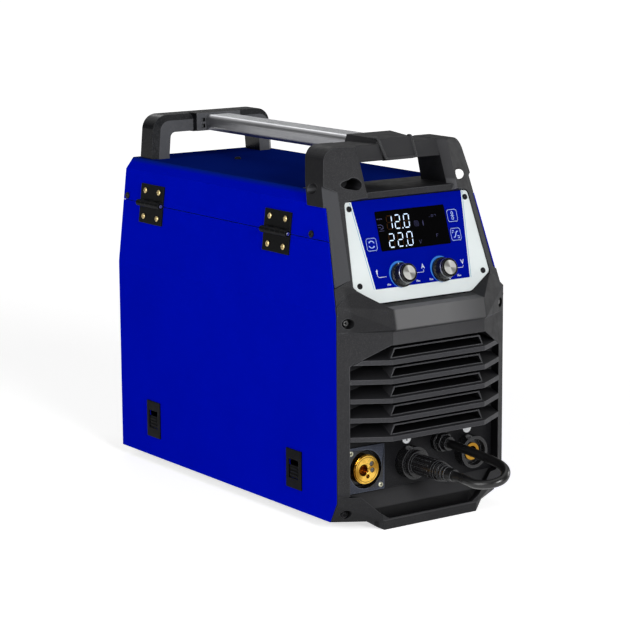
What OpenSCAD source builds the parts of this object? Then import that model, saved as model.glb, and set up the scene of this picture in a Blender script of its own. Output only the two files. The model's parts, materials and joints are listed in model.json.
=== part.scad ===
// MIG welding machine: sheet-steel case with a top-hinged wire-bay door, faceted plastic
// front, tube handle between two arches, wire drive and inverter inside.
// +X is the right side seen from the front, -Y is the front, Z = 0 is the floor.

/* [Case] */
// Width over the lower side walls
case_w = 246; // [236:1:260]
// Length of the side walls
case_l = 480; // [470:1:500]
// Height of the case floor above the ground
foot_h = 11; // [8:0.5:14]
// Height of the upright part of the side walls
lower_h = 245; // [240:1:255]
// Height of the leaning part of the side walls
upper_h = 120; // [115:1:126]
// Height of the shoulder chamfer
shoulder_h = 14; // [10:0.5:18]
// Sideways run of the shoulder chamfer
shoulder_run = 11; // [8:0.5:14]
// Inward lean of the upper side walls, degrees
side_lean = 6.6; // [5.6:0.1:7.4]
// Backward lean of the upper front edge, degrees
ridge_lean = 18; // [17:0.1:19]
// Sheet steel thickness
sheet = 1.2; // [0.8:0.1:1.6]
// Height of the door seam above the bend of the side wall
seam_rise = 81; // [76:1:86]
// Gap round the door
door_gap = 0.8; // [0.5:0.1:1.2]
// X of the inner wall between wire bay and electronics
divider_x = -42; // [-44:0.5:-40]

/* [Front moulding] */
// Half width of the flat nose
nose_half = 67; // [63:1:70]
// How far the nose stands in front of the side walls
nose_out = 39; // [35:0.5:42]
// Front slope of the side facets, run over width
facet_slope = 0.587; // [0.56:0.005:0.61]
// Height of the nose top above the wall bend
nose_top = 6; // [4:0.5:9]
// Height of the nose face
nose_h = 22; // [18:0.5:24]
// Half width of the recess for louvres and sockets
recess_half = 110; // [106:0.5:112]
// Height of the hand opening in the front arch
arch_open_h = 32; // [28:0.5:35]
// Thickness of the arch beam
beam_h = 19; // [16:0.5:22]
// Half width of the hand opening at the posts
arch_half = 60; // [56:0.5:64]
// Depth of the moulded shelf behind the arch opening
shelf_y = -140; // [-146:1:-134]
// Height of the bumper bar
bar_h = 13; // [10:0.5:16]

/* [Louvres] */
// Number of slats
slat_n = 5; // [4:1:5]
// Spacing of the slats
slat_pitch = 22.4; // [20:0.2:23]
// Height of a slat's front edge
slat_t = 5.5; // [4:0.5:7]

/* [Control panel] */
// Backward tilt of the control panel, degrees
panel_tilt = 18.3; // [17.6:0.1:19]
// Thickness of the white plate
plate_t = 2; // [1.5:0.1:3]
// Thickness of the printed overlay
overlay_t = 0.5; // [0.3:0.1:0.8]
// Length of the panel along its slope
plate_l = 120; // [116:1:123]
// Display width
lcd_w = 102; // [90:1:106]
// Display height
lcd_h = 47; // [40:1:50]
// Side of a key
key_w = 15.5; // [13:0.5:17]
// Distance of each knob from the centre line
knob_x = 30; // [27:0.5:34]
// Skirt radius of a knob
knob_r = 14.5; // [12:0.5:16]
// Height of a knob
knob_h = 16; // [12:0.5:20]
// Radius of a knob shaft
shaft_r = 3; // [2.5:0.1:3.5]

/* [Sockets] */
// X of the torch socket
euro_x = -79.5; // [-82:0.5:-78]
// Height of the torch socket and the dinse sockets above the case floor
socket_rise = 59; // [56:0.5:62]
// Side of the torch socket flange
flange_w = 54; // [50:0.5:55]
// Radius of the torch socket thread
euro_r = 17.5; // [16:0.1:18]
// Radius of the torch socket bore
euro_bore_r = 6; // [5:0.1:6.5]
// Radius of the round recess in the torch socket flange
cup_r = 23; // [22:0.1:23.5]
// How far the torch socket stands out of its flange
euro_out = 2.8; // [1:0.1:5]
// X of the positive socket
plus_x = -16; // [-19:0.5:-12]
// X of the negative socket
minus_x = 73; // [68:0.5:76]
// Outer radius of a dinse socket
dinse_r = 19.5; // [17:0.5:21]
// How far a dinse socket stands out of its panel
dinse_out = 15; // [12:0.5:18]
// Radius of the dinse socket bore
dinse_bore_r = 6.6; // [6:0.1:7]
// Height of the lead's gland above the sockets
gland_rise = 18; // [15:0.5:22]
// X of the lead's gland
gland_x = 29; // [26:0.5:32]
// Diameter of the polarity lead
lead_d = 10.5; // [9:0.1:12]

/* [Handle] */
// Width of the handle tube
tube_w = 39; // [34:0.5:42]
// Height of the handle tube
tube_h = 20.5; // [18:0.5:23]
// Wall of the handle tube
tube_wall = 2; // [1.5:0.1:3]
// Clear height between the case top and the handle tube
tube_rise = 33.5; // [30:0.5:38]
// Y of the front face of the rear arch
rear_arch_y = 196; // [190:1:202]
// Depth of the rear arch
rear_arch_d = 34; // [28:1:36]
// Half width of the rear arch
rear_arch_half = 93; // [88:1:96]
// Thickness of the rear arch
rear_arch_t = 22; // [18:0.5:24]

/* [Hinges and latches] */
// Length of a hinge
hinge_l = 54; // [48:1:58]
// Height of one hinge leaf
leaf_h = 21; // [18:0.5:22]
// Thickness of a hinge leaf
leaf_t = 2; // [1.5:0.1:2.5]
// Radius of a hinge knuckle
knuckle_r = 4.2; // [3.8:0.1:4.6]
// Radius of a hinge pin
pin_r = 2; // [1.6:0.1:2.4]
// Y of the rear hinge's middle
hinge_rear_y = 169; // [160:1:176]
// Y of the front hinge's middle
hinge_front_y = -112; // [-118:1:-104]
// Width of a latch
latch_w = 31; // [28:0.5:34]
// Height of a latch
latch_h = 47; // [42:1:50]
// Y of the rear latch's middle
latch_rear_y = 159; // [150:1:165]
// Y of the front latch's middle
latch_front_y = -156; // [-162:1:-148]
// Travel of a latch slider
latch_travel = 7; // [5:0.5:8]

/* [Wire drive] */
// Radius of the spool flanges
spool_r = 100; // [90:1:102]
// Width of the spool
spool_w = 55; // [50:1:56]
// Radius of the spool hub
hub_r = 25; // [22:0.5:27]
// Y of the spool axis
spool_y = 95; // [90:1:100]
// Height of the spool axis
spool_z = 187; // [180:1:195]
// Radius of the drive roll
drive_r = 15; // [13:0.5:16]
// Radius of the pressure roll
press_r = 12; // [10:0.5:13]
// Wire diameter
wire_d = 0.8; // [0.6:0.1:1]
// Radius of the feed motor
motor_r = 27; // [24:0.5:28]

/* [Rear] */
// Side of the fan
fan_w = 120; // [110:1:122]
// X of the fan axis
fan_x = 40; // [36:0.5:44]
// Height of the fan axis
fan_z = 150; // [140:1:160]
// Radius of the gas inlet barb
gas_r = 4; // [3.5:0.1:5]
// Bore radius of the mains gland
mains_r = 5.5; // [4.5:0.1:6.5]

/* [Fits] */
// Radial clearance of shafts and pins
fit = 0.05; // [0.03:0.01:0.09]
// Clearance between moving neighbours
gap = 0.4; // [0.3:0.05:0.6]

/* [Hidden] */

$fn = 48;
eps = 0.01;
half_w = case_w / 2;
half_l = case_l / 2;
bend_z = foot_h + lower_h;
shoulder_z = bend_z + upper_h;
top_z = shoulder_z + shoulder_h;
seam_z = bend_z + seam_rise;
side_slope = tan(side_lean);
ridge_slope = tan(ridge_lean);
shoulder_x = half_w - side_slope * upper_h;
top_x = shoulder_x - shoulder_run;
socket_z = foot_h + socket_rise;
gland_z = socket_z + gland_rise;

// Half width of the case at a height
function side_x(z) = half_w - side_slope * max(0, z - bend_z);
// Front edge of the case at a height
function ridge_y(z) = -half_l + ridge_slope * max(0, z - bend_z);

// Cuts the lower front corners off the side walls
module corner_cut() {
  across(case_w + 20)
    polygon([[-half_l - 5, corner_z], [-half_l, corner_z], [corner_y + door_gap, foot_h - 1],
         [-half_l - 5, foot_h - 1]]);
}

// Solid that wraps a set of points
module convex(points) {
  hull()
    polyhedron(points, [[for (i = [0:len(points) - 1]) i]]);
}

// A solid and its mirror image across the middle plane
module both_sides() {
  children();
  mirror([1, 0, 0])
    children();
}

// Solid drawn as a side profile, [y, z] points, centred across the machine
module across(width) {
  rotate([90, 0, 90])
    translate([0, 0, -width / 2])
      linear_extrude(width)
        children();
}

// Solid drawn as a front outline, [x, z] points, from y0 to y1
module along(y0, y1) {
  translate([0, y1, 0])
    rotate([90, 0, 0])
      linear_extrude(y1 - y0)
        children();
}

module rounded_square(size, r) {
  translate([r - size[0] / 2, r - size[1] / 2])
    offset(r = r, $fn = 24)
      square([size[0] - 2 * r, size[1] - 2 * r]);
}

// Round rod along Y from y0 to y1
module rod_y(r, y0, y1) {
  translate([0, y1, 0])
    rotate([90, 0, 0])
      cylinder(r = r, h = y1 - y0);
}

// Round rod along X from x0 to x1
module rod_x(r, x0, x1) {
  translate([x0, 0, 0])
    rotate([0, 90, 0])
      cylinder(r = r, h = x1 - x0);
}

// ---- case

// Outline of the case seen from the front, drawn in by a distance
module case_outline(inset) {
  base = foot_h + (inset > 0 ? 2 * inset : 0);
  half = half_w - inset;
  polygon([[-half, base], [-half, bend_z], [-shoulder_x + inset, shoulder_z - inset / 3],
       [-top_x + inset / 2, top_z - inset], [top_x - inset / 2, top_z - inset],
       [shoulder_x - inset, shoulder_z - inset / 3], [half, bend_z], [half, base]]);
}

// Everything in front of the leaning front edge
module in_front_of_ridge() {
  across(case_w + 20)
    polygon([[-half_l - 60, bend_z], [-half_l, bend_z],
         [-half_l + ridge_slope * 200, bend_z + 200], [-half_l - 60, bend_z + 200]]);
}

tray_lip = 18;
module base_tray() {
  floor_half = half_w - sheet - door_gap;
  color("#22252a")
    difference() {
      along(corner_y + gap, half_l - 4)
        polygon([[-floor_half, foot_h], [half_w - sheet, foot_h],
             [half_w - sheet, foot_h + tray_lip], [half_w - 2 * sheet, foot_h + tray_lip],
             [half_w - 2 * sheet, foot_h + sheet], [-floor_half + sheet, foot_h + sheet],
             [-floor_half + sheet, foot_h + tray_lip], [-floor_half, foot_h + tray_lip]]);
      for (x = [-foot_x, foot_x], y = [-foot_y, foot_y])
        translate([x, y, 0])
          cylinder(r = foot_pin_r + fit, h = foot_h + 5);
    }
  color("#18191b")
    for (x = [-foot_x, foot_x], y = [-foot_y, foot_y])
      translate([x, y, 0])
        rubber_foot();
}
foot_x = 72;
foot_y = 185;
// Lower front corners of the side walls are cut off from corner_z down to corner_y
corner_z = foot_h + 25;
corner_y = -half_l + 12.5;
foot_pin_r = 3;

module rubber_foot() {
  cylinder(r1 = 12, r2 = 14, h = foot_h);
  cylinder(r = foot_pin_r, h = foot_h + sheet);
}

module divider_wall() {
  top = top_z - sheet;
  color("#3a3f46")
    difference() {
      translate([divider_x, -half_l + sheet + 8, foot_h + sheet])
        cube([sheet, case_l - 12 - sheet, top - foot_h - sheet]);
      translate([0, feed_y, drive_z])
        rod_x(motor_r + 3, divider_x - 5, divider_x + 5);
      translate([0, spool_y, spool_z])
        rod_x(hub_bolt_r + fit, divider_x - 5, divider_x + 5);
      in_front_of_ridge_inner();
    }
}

// Room that the front moulding and its boards take in front of the divider
module in_front_of_ridge_inner() {
  across(case_w)
    polygon([[-half_l - 60, bend_z - 30], [-half_l + 14, bend_z - 30],
         [-half_l + 14 + ridge_slope * 100, bend_z + 70], [shelf_y + 6, top_z - 26],
         [shelf_y + 6, top_z + 10], [-half_l - 60, top_z + 10]]);
}

// Top, shoulders, the strip above the door, and the whole right side, bent from one sheet
module cover_shell() {
  color("#0a14b4")
    difference() {
      along(-half_l, half_l)
        difference() {
          case_outline(0);
          case_outline(sheet);
          polygon([[-half_w - 5, foot_h - 5], [0, foot_h - 5], [0, foot_h + 3 * sheet],
               [-half_w + 15, foot_h + 3 * sheet], [-side_x(seam_z) + 15, seam_z],
               [-half_w - 5, seam_z]]);
          translate([0, foot_h - 5])
            square([half_w - sheet, 5 + 3 * sheet]);
        }
      in_front_of_ridge();
      corner_cut();
      cover_front_cut();
      translate([0, 0, vent_z])
        for (row = [0:vent_rows - 1], column = [0:1])
          translate([half_w - 5, vent_y + column * (vent_l + 20), row * vent_pitch])
            cube([10, vent_l, vent_h]);
    }
  // pressed hoods over the slots of the right wall
  color("#0a14b4")
    for (row = [0:vent_rows - 1], column = [0:1])
      along_vent(vent_y + column * (vent_l + 20))
        translate([half_w - eps, vent_z + row * vent_pitch])
          polygon([[0, vent_h + 2], [frame_proud, 1], [frame_proud, 0],
               [frame_proud - 0.8, 0], [0, vent_h]]);
}

module along_vent(y) {
  along(y, y + vent_l)
    children();
}
vent_rows = 8;
vent_pitch = 12;
vent_h = 4;
vent_l = 70;
vent_y = 20;
vent_z = 60;

// The moulded shelf and the posts of the front arch take the place of the sheet here
module cover_front_cut() {
  translate([-top_x, -half_l, top_z - sheet - 1])
    cube([2 * top_x, half_l + shelf_y, 5]);
  across(case_w)
    polygon([[-half_l, post_low_z - gap], [post_rear_y(post_low_z) + gap, post_low_z - gap],
         [post_rear_y(top_z) + gap, top_z + 1], [-half_l, top_z + 1]]);
}

// The door hangs from the seam and follows the bend of the side wall
module side_door() {
  top = seam_z - door_gap;
  top_half = side_x(top);
  color("#0a14b4") {
    difference() {
      along(-half_l, half_l)
        polygon([[-half_w, foot_h], [-half_w, bend_z], [-top_half, top],
             [-top_half + sheet, top], [-half_w + sheet, bend_z], [-half_w + sheet, foot_h]]);
      in_front_of_ridge();
      corner_cut();
      for (y = [latch_rear_y, latch_front_y])
        translate([-half_w - 2, y - slider_w / 2 - gap, latch_mid_z - window_h / 2])
          cube([8, slider_w + 2 * gap, window_h]);
    }
    // folded stiffener along the inner face
    translate([-half_w + sheet, -half_l + 20, bend_z - 34])
      cube([5, case_l - 40, sheet]);
  }
}

// ---- front moulding

proud = 1;
edge_step = 2;
// Front of the side facets at half width x and height z
function facet_y(x, z) = -half_l - edge_step + facet_slope * (x - half_w)
             + facet_rise * (z - bend_z);
// Lean of the facets that keeps them on the ridge line
facet_rise = ridge_slope + facet_slope * side_slope;
nose_y = -half_l - nose_out;
nose_top_z = bend_z + nose_top;
nose_low_z = nose_top_z - nose_h;
lower_front_y = -half_l - edge_step - facet_slope * (half_w - 0.5 - nose_half);
panel_z = bend_z + 10;
panel_y = -half_l - 9;
function panel_front(z) = panel_y + tan(panel_tilt) * (z - panel_z);
lip_z = top_z;
beam_z = lip_z + arch_open_h;
arch_top_z = beam_z + beam_h;
post_low_z = shoulder_z - 2;
// Rear edge of the arch posts
function post_rear_y(z) = -167 + 0.29 * (z - post_low_z);
recess_top_z = bend_z - 35;
recess_side_z = recess_top_z - 24;
socket_y = -half_l + 4;
panel_back = 2.5;
recess_low_z = foot_h + 33;

// Places things on the control panel: x across, y up the slope, z out of it
module on_panel() {
  translate([0, panel_y, panel_z])
    rotate([90 - panel_tilt, 0, 0])
      children();
}

// Facet beside the control panel, from the wall bend up to the shoulder
module mask_side() {
  z0 = bend_z - 1;
  z1 = post_low_z;
  x0 = side_x(z0) - 0.5;
  x1 = side_x(z1) - 0.5;
  low_in = [98, panel_z + 17];
  high_in = [86, z1];
  convex([[x0, ridge_y(z0), z0], [x1, ridge_y(z1), z1], [x0, facet_y(x0, z0), z0],
          [x1, facet_y(x1, z1), z1], for (p = [low_in, high_in]) each [
          [p[0], ridge_y(p[1]) + 1, p[1]], [p[0], facet_y(p[0], p[1]), p[1]]]]);
}

// Post of the front arch; its inner edge is bevelled back
module arch_post() {
  z0 = post_low_z - eps;
  z1 = arch_top_z;
  x0 = side_x(z0) + proud;
  x1 = side_x(z1) + proud;
  edge = arch_half + 6;
  back = 12;
  convex([for (z = [z0, z1]) each [
    [side_x(z) + proud, post_rear_y(z), z],
    [side_x(z) + proud, facet_y(side_x(z), z), z],
    [edge, facet_y(edge, z), z],
    [arch_half, facet_y(edge, z) + back, z],
    [arch_half, post_rear_y(z), z]]]);
}

// Outline that rounds the shoulders of the arch
module arch_outline() {
  r = 20;
  hull()
    for (s = [-1, 1]) {
      translate([s * (side_x(arch_top_z) + proud - r), arch_top_z - r])
        circle(r = r, $fn = 48);
      translate([s * (half_w + 10) - 5, 0])
        square([10, bend_z]);
    }
}

// Nose: a flat block under the control panel with a faceted wedge on either side
module nose() {
  low = nose_low_z - 4;
  side = half_w - 0.5;
  corner_z = bend_z + 10;
  ledge = panel_z - 1.2;
  back = -half_l + 14;
  convex([for (x = [-nose_half, nose_half]) each [
    [x, panel_front(ledge), ledge], [x, nose_y + 5, nose_top_z], [x, nose_y, nose_low_z],
    [x, lower_front_y, low], [x, back, low], [x, back, ledge - 4]]]);
  both_sides()
    convex([[nose_half, panel_front(ledge), ledge], [nose_half, back, ledge - 4],
            [nose_half, nose_y + 5, nose_top_z], [nose_half, nose_y, nose_low_z],
            [nose_half, lower_front_y, low], [nose_half, back, low],
            [101, panel_front(panel_z + 19), panel_z + 19], [101, back, panel_z + 8],
            [side - 3, back, corner_z - 5], [side - 3, back, low + 3],
            [side, -half_l, corner_z], [side, -half_l - edge_step, corner_z],
            [side, -half_l - edge_step, low], [side, -half_l, low]]);
}

// Upright lower part between the bumper and the nose
module lower_block() {
  inner = half_w - sheet - door_gap;
  step_y = -half_l - edge_step;
  side = half_w - 0.5;
  along_z(recess_low_z, nose_low_z - 3)
    polygon([[-inner, socket_y], [-inner, -half_l + 1], [inner, -half_l + 1], [inner, socket_y]]);
  convex([for (z = [recess_low_z, nose_low_z - 4], s = [-1, 1]) each [
    [s * side, -half_l, z], [s * side, step_y, z], [s * nose_half, lower_front_y, z],
    [s * inner, -half_l + 1, z], [s * (inner - 9), -half_l + 3, z]]]);
}

module along_z(z0, z1) {
  translate([0, 0, z0])
    linear_extrude(z1 - z0)
      children();
}

// Recess that takes the louvres and the sockets
module recess_outline(inset) {
  half = recess_half - inset;
  polygon([[-half, 0], [-half, recess_side_z - inset], [-nose_half - 2, recess_top_z - inset],
       [nose_half + 2, recess_top_z - inset], [half, recess_side_z - inset], [half, 0]]);
}

module front_recess() {
  along(-half_l - 80, -half_l + 10)
    recess_outline(0);
}

bumper_y = -half_l - 20.5;
bumper_half = 68.5;
cheek_z = foot_h + 20;
cheek_top_z = recess_low_z + 6;
apron_y = socket_y - 13;
lip_t = 5;
// Bumper: two cheeks run forward to a low bar; between them an apron slopes to a deep slot
module bumper() {
  inner = half_w - sheet - door_gap;
  side = half_w - 0.5;
  front_half = bumper_half + 4;
  difference() {
    union() {
      convex([for (s = [-1, 1]) each [
        [s * inner, corner_y, foot_h], [s * inner, corner_y, cheek_top_z + 6],
        [s * side, corner_y, foot_h], [s * side, -half_l, corner_z],
        [s * side, -half_l - edge_step, corner_z - 2], [s * 89, -half_l - 7, foot_h],
        [s * (bumper_half + 2), bumper_y + 0.5, foot_h], [s * front_half, bumper_y, cheek_z],
        [s * recess_half, facet_y(recess_half, bend_z) + 3, cheek_top_z],
        [s * side, -half_l - edge_step, cheek_top_z + 6], [s * side, -half_l, cheek_top_z + 6]]]);
      // bar that reaches down to the floor
      convex([for (s = [-1, 1]) each [
        [s * bumper_half, bumper_y + 1, 0], [s * bumper_half, -half_l - 5, 0],
        [s * bumper_half, bumper_y, bar_h - 2], [s * 88, -half_l - 7.5, foot_h + 1],
        [s * 80, -half_l - 3, foot_h + 1], [s * (bumper_half + 1), bumper_y + 0.5, foot_h + 1]]]);
    }
    // space above the apron
    convex([for (s = [-1, 1]) each [
      [s * (bumper_half - 7), bumper_y - 8, bar_h], [s * (bumper_half + 11), bumper_y - 8, cheek_z + 12],
      [s * (bumper_half - 7), bumper_y + lip_t, bar_h], [s * (bumper_half + 6), apron_y, cheek_z],
      [s * (recess_half - 3), socket_y, cheek_top_z - 8],
      [s * (recess_half - 3), socket_y, cheek_top_z + 20],
      [s * (recess_half - 3), -half_l - 30, cheek_top_z + 20]]]);
    // seat of the socket panel
    translate([-recess_half - 2, socket_y, cheek_top_z - 8])
      cube([2 * recess_half + 4, 30, 40]);
    // slot between apron and bar
    convex([for (s = [-1, 1]) each [
      [s * (bumper_half - 7), bumper_y + lip_t, 4], [s * (bumper_half - 7), apron_y, 4],
      [s * (bumper_half - 7), bumper_y + lip_t, bar_h + 1],
      [s * (bumper_half + 5), bumper_y + lip_t, cheek_z],
      [s * (bumper_half + 5), apron_y, cheek_z + 8]]]);
    // hollow behind the apron
    translate([-recess_half + 6, socket_y + 3, foot_h - 12])
      cube([2 * recess_half - 12, 30, 60]);
  }
}

screw_well_x = half_w - 11;
screw_well_z = bend_z - 9;
foot_screw_x = half_w - 12;
foot_screw_z = foot_h + 10;
foot_screw_y = -half_l + 3;
hood_half = 22;
module hood() {
  top = arch_top_z + 7;
  convex([for (s = [-1, 1]) each [
    [s * hood_half, panel_front(beam_z) - 4, beam_z + 2],
    [s * hood_half, panel_front(beam_z) + 2, beam_z - 1],
    [s * (hood_half + 2), panel_front(arch_top_z) + 2, top - 2],
    [s * (hood_half + 10), shelf_y + 2, top],
    [s * (hood_half + 14), shelf_y + 2, arch_top_z - 4],
    [s * (hood_half + 5), panel_front(arch_top_z) + 6, arch_top_z - 4]]]);
}

notch_z0 = bend_z + 28;
notch_z1 = shoulder_z + 22;
// Long chamfer cut along the outer front edge of the moulding, with slanted ends
module edge_chamfer() {
  function cut(z, in, out) = [side_x(z) - in, facet_y(side_x(z) - in, z) - out, z];
  convex([cut(notch_z0 + 11, 17, 0), cut(notch_z0 + 11, 17, 10), cut(notch_z0 - 4, -9, 16),
      cut(notch_z0 - 2, -4, -5), cut(notch_z1 - 7, 12.5, 0), cut(notch_z1 - 7, 12.5, 8),
      cut(notch_z1 + 3, -9, 12), cut(notch_z1 + 1, -4, -4)]);
}

module front_bezel() {
  color("#3b3c3f")
    difference() {
      union() {
        intersection() {
          union() {
            both_sides() {
              mask_side();
              arch_post();
            }
            // lip under the hand opening and the shelf behind it
            across(2 * arch_half + 6)
              polygon([[panel_front(lip_z - 10), lip_z - 10],
                   [panel_front(lip_z - 8) - 7, lip_z - 8],
                   [panel_front(lip_z) - 12, lip_z], [shelf_y, lip_z],
                   [shelf_y, lip_z - 4], [ridge_y(lip_z - 10), lip_z - 10]]);
            shelf_wings();
            // beam over the hand opening
            across(2 * arch_half + 6)
              polygon([[panel_front(beam_z), beam_z],
                       [panel_front(arch_top_z), arch_top_z - 0.3],
                       [post_rear_y(arch_top_z) - 1, arch_top_z - 0.3],
                       [post_rear_y(beam_z) - 1, beam_z]]);
          }
          along(-half_l - 80, 0)
            arch_outline();
        }
        hood();
        nose();
        lower_block();
        bumper();
        panel_seat();
      }
      front_recess_top();
      both_sides() {
        wall_room();
        edge_chamfer();
        // strap eye: runs into each arch post and out at its side
        translate([arch_half + 16, 0, top_z + 10])
          rod_y(7, -half_l - 20, -188);
        translate([arch_half + 14, -216, top_z + 10])
          rotate([-97, 0, -39])
            cylinder(r = 6, h = 90);
        // wells of the bezel screws
        translate([screw_well_x, 0, screw_well_z])
          rod_y(6, -half_l - 40, -half_l - 2);
        translate([screw_well_x, 0, screw_well_z])
          rod_y(2.5, -half_l - 10, -half_l + 5);
        translate([foot_screw_x, 0, foot_screw_z])
          rod_y(6, -half_l - 20, foot_screw_y);
        translate([foot_screw_x, 0, foot_screw_z])
          rod_y(2.5, -half_l - 20, foot_screw_y + 15);
      }
      // hollow behind the nose
      translate([-nose_half + 4, nose_y + 9, nose_low_z + 1])
        cube([2 * nose_half - 8, nose_out + 20, nose_h - 5]);
      // window behind the control plate
      on_panel()
        translate([0, 0, -30])
          linear_extrude(30 - plate_t + eps)
            polygon([[-70, 12], [-76, 106], [76, 106], [70, 12]]);
      // seat of the control plate
      on_panel()
        translate([0, 0, -plate_t])
          linear_extrude(30)
            offset(delta = 0.5)
              plate_outline();
      // socket that holds the handle tube
      translate([0, tube_front_y, tube_z])
        tube_solid(tube_w + 2 * fit, tube_h + 2 * fit, 60);
    }
}

// Room of a side wall behind the front edge of the case
module wall_room() {
  inner = sheet + fit;
  difference() {
    along(-half_l, -half_l + 60)
      polygon([[half_w - inner, 0], [half_w - inner, bend_z],
           [side_x(post_low_z) - inner, post_low_z], [half_w + 5, post_low_z], [half_w + 5, 0]]);
    in_front_of_ridge();
    corner_cut();
  }
}

// The recess cuts only the block, not the bumper under it
module front_recess_top() {
  intersection() {
    front_recess();
    translate([-half_w, -half_l - 80, cheek_top_z - 8])
      cube([case_w, 100, case_l]);
  }
}

// Ties the shelf to the posts
module shelf_wings() {
  both_sides()
    convex([[arch_half - 1, shelf_y, lip_z], [arch_half - 1, shelf_y, lip_z - 4],
        [top_x - 1, shelf_y, lip_z], [top_x - 1, shelf_y, lip_z - 4],
        [arch_half - 1, -175, lip_z], [arch_half - 1, -175, lip_z - 4],
        [top_x - 1, -175, lip_z], [top_x - 1, -175, lip_z - 4]]);
}

// Frame behind the edge of the control plate
module panel_seat() {
  on_panel()
    translate([0, 0, -8])
      linear_extrude(7)
        polygon([[-nose_half + 2, 1.5], [-97, 21], [-87, 115], [87, 115], [97, 21],
                 [nose_half - 2, 1.5]]);
}

// Sloping slats that bend back at both ends, each with a rimmed air slot
module louvre_grille() {
  slat_low = recess_top_z - 20 - (slat_n - 1) * slat_pitch;
  color("#37383b") {
    difference() {
      along(socket_y, socket_y + panel_back)
        polygon([[-recess_half - 1.5, slat_low - 4], [-recess_half - 1.5, recess_side_z],
             [-nose_half - 2, recess_top_z + 1.5], [nose_half + 2, recess_top_z + 1.5],
             [recess_half + 1.5, recess_side_z], [recess_half + 1.5, slat_low - 4]]);
      for (i = [0:slat_n - 1])
        translate([0, 0, slat_low + i * slat_pitch])
          slot_room();
    }
    intersection() {
      for (i = [0:slat_n - 1])
        translate([0, 0, slat_low + i * slat_pitch])
          slat();
      along(-half_l - 60, socket_y + 1)
        recess_outline(0.3);
    }
  }
}

// Profile of a slat: a roof that falls to the front edge; y = 0 is the front
module slat_profile() {
  depth = socket_y - lower_front_y + eps;
  polygon([[0, -slat_t / 2], [0, slat_t / 2], [1.5, slat_t / 2 + 0.6], [depth, slat_pitch - 4],
       [depth, slat_pitch - 10], [7, -slat_t / 2]]);
}

// One slat with a slot cut through its middle; both ends follow the side facets
module slat() {
  turn = atan(facet_slope);
  depth = socket_y - lower_front_y;
  corner = nose_half + 1;
  hip = corner - depth * tan(turn / 2);
  difference() {
    union() {
      intersection() {
        translate([0, lower_front_y, 0])
          across(2 * corner)
            slat_profile();
        along_z(-20, 40)
          polygon([[-corner, lower_front_y], [-hip, socket_y + eps], [hip, socket_y + eps],
               [corner, lower_front_y]]);
      }
      both_sides()
        intersection() {
          translate([corner, lower_front_y, 0])
            rotate([0, 0, turn])
              translate([20, 0, 0])
                across(90)
                  slat_profile();
          along_z(-20, 40)
            polygon([[corner, lower_front_y], [hip, socket_y + eps],
                 [recess_half + 5, socket_y + eps], [recess_half + 5, lower_front_y]]);
        }
    }
    slot_room();
  }
  slot_rim();
}

slot_rise = slat_pitch - slat_t - 1;
slot_half = nose_half - 4;
module slot_outline(wall) {
  polygon([[-slot_half - 5 + wall, slat_t / 2 + 1 + wall], [-slot_half + wall, slot_rise - wall],
       [slot_half - wall, slot_rise - wall], [slot_half + 5 - wall, slat_t / 2 + 1 + wall]]);
}

module slot_room() {
  along(lower_front_y + 3.5, socket_y + 20)
    slot_outline(1.5);
}

module slot_rim() {
  along(lower_front_y + 4, socket_y + eps)
    difference() {
      slot_outline(0);
      slot_outline(1.5);
    }
}

// Plate that carries the sockets, under the louvres
module socket_panel() {
  high = recess_top_z - 20 - (slat_n - 1) * slat_pitch - 4.2;
  low = cheek_top_z - 7.8;
  color("#2d2e31")
    difference() {
      translate([-recess_half - 1.5, socket_y, low])
        cube([2 * recess_half + 3, panel_back, high - low]);
      translate([euro_x, 0, socket_z])
        rod_y(cup_r + 1.5 + fit, socket_y - 5, socket_y + 10);
      for (x = [plus_x, minus_x])
        translate([x, 0, socket_z])
          rod_y(dinse_neck_r, socket_y - 5, socket_y + 10);
      translate([gland_x, 0, gland_z])
        rod_y(gland_neck_r, socket_y - 5, socket_y + 10);
    }
}

// ---- control panel

module plate_outline() {
  side = plate_side_y;
  offset(r = 5, $fn = 24)
    offset(delta = -5)
      polygon([[-nose_half - 1, 0], [-100, side], [-90, plate_l], [90, plate_l], [100, side],
           [nose_half + 1, 0]]);
}
plate_side_y = 20;
overlay_low = 16;
overlay_top = plate_l - 0.4;
lcd_mid = 82;
knob_mid = 29;
key_left = [-63.5, 68];
key_gas = [60.3, 91];
key_trigger = [60.3, 68.5];
key_depth = 2.2;
plate_screw_spots = [[-85, 111.5], [85, 111.5], [-90.5, 22], [90.5, 22]];

module key_spots() {
  for (spot = [key_left, key_gas, key_trigger])
    translate(spot)
      rounded_square([key_w + 2 * gap, key_w + 2 * gap], 3);
}

module control_plate() {
  color("#eaf1f1")
    on_panel()
      difference() {
        translate([0, 0, -plate_t])
          linear_extrude(plate_t)
            plate_outline();
        for (x = [-knob_x, knob_x])
          translate([x, knob_mid, -10])
            cylinder(r = shaft_r + fit, h = 20);
        for (spot = plate_screw_spots)
          translate([spot[0], spot[1], -10])
            cylinder(r = 1.8, h = 20);
        translate([0, 0, -10])
          linear_extrude(20)
            key_spots();
      }
}

module panel_overlay() {
  color("#0a12a0")
    on_panel()
      difference() {
        linear_extrude(overlay_t)
          polygon([[-69, overlay_low], [-80.5, overlay_top], [80.5, overlay_top],
               [69, overlay_low]]);
        for (x = [-knob_x, knob_x])
          translate([x, knob_mid, -1])
            cylinder(r = shaft_r + 1, h = 5);
        translate([0, 0, -1])
          linear_extrude(5)
            key_spots();
        translate([0, lcd_mid, -1])
          linear_extrude(5)
            rounded_square([lcd_w, lcd_h], 2);
      }
}

module display_window() {
  color("#050506")
    on_panel()
      translate([0, lcd_mid, 0])
        linear_extrude(overlay_t + 0.2)
          rounded_square([lcd_w, lcd_h], 2);
}

key_travel = 0.5;
module key_cap(spot) {
  color("#1620b0")
    on_panel()
      translate([spot[0], spot[1], overlay_t + 0.6 - key_depth])
        linear_extrude(key_depth)
          rounded_square([key_w, key_w], 3);
}

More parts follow.
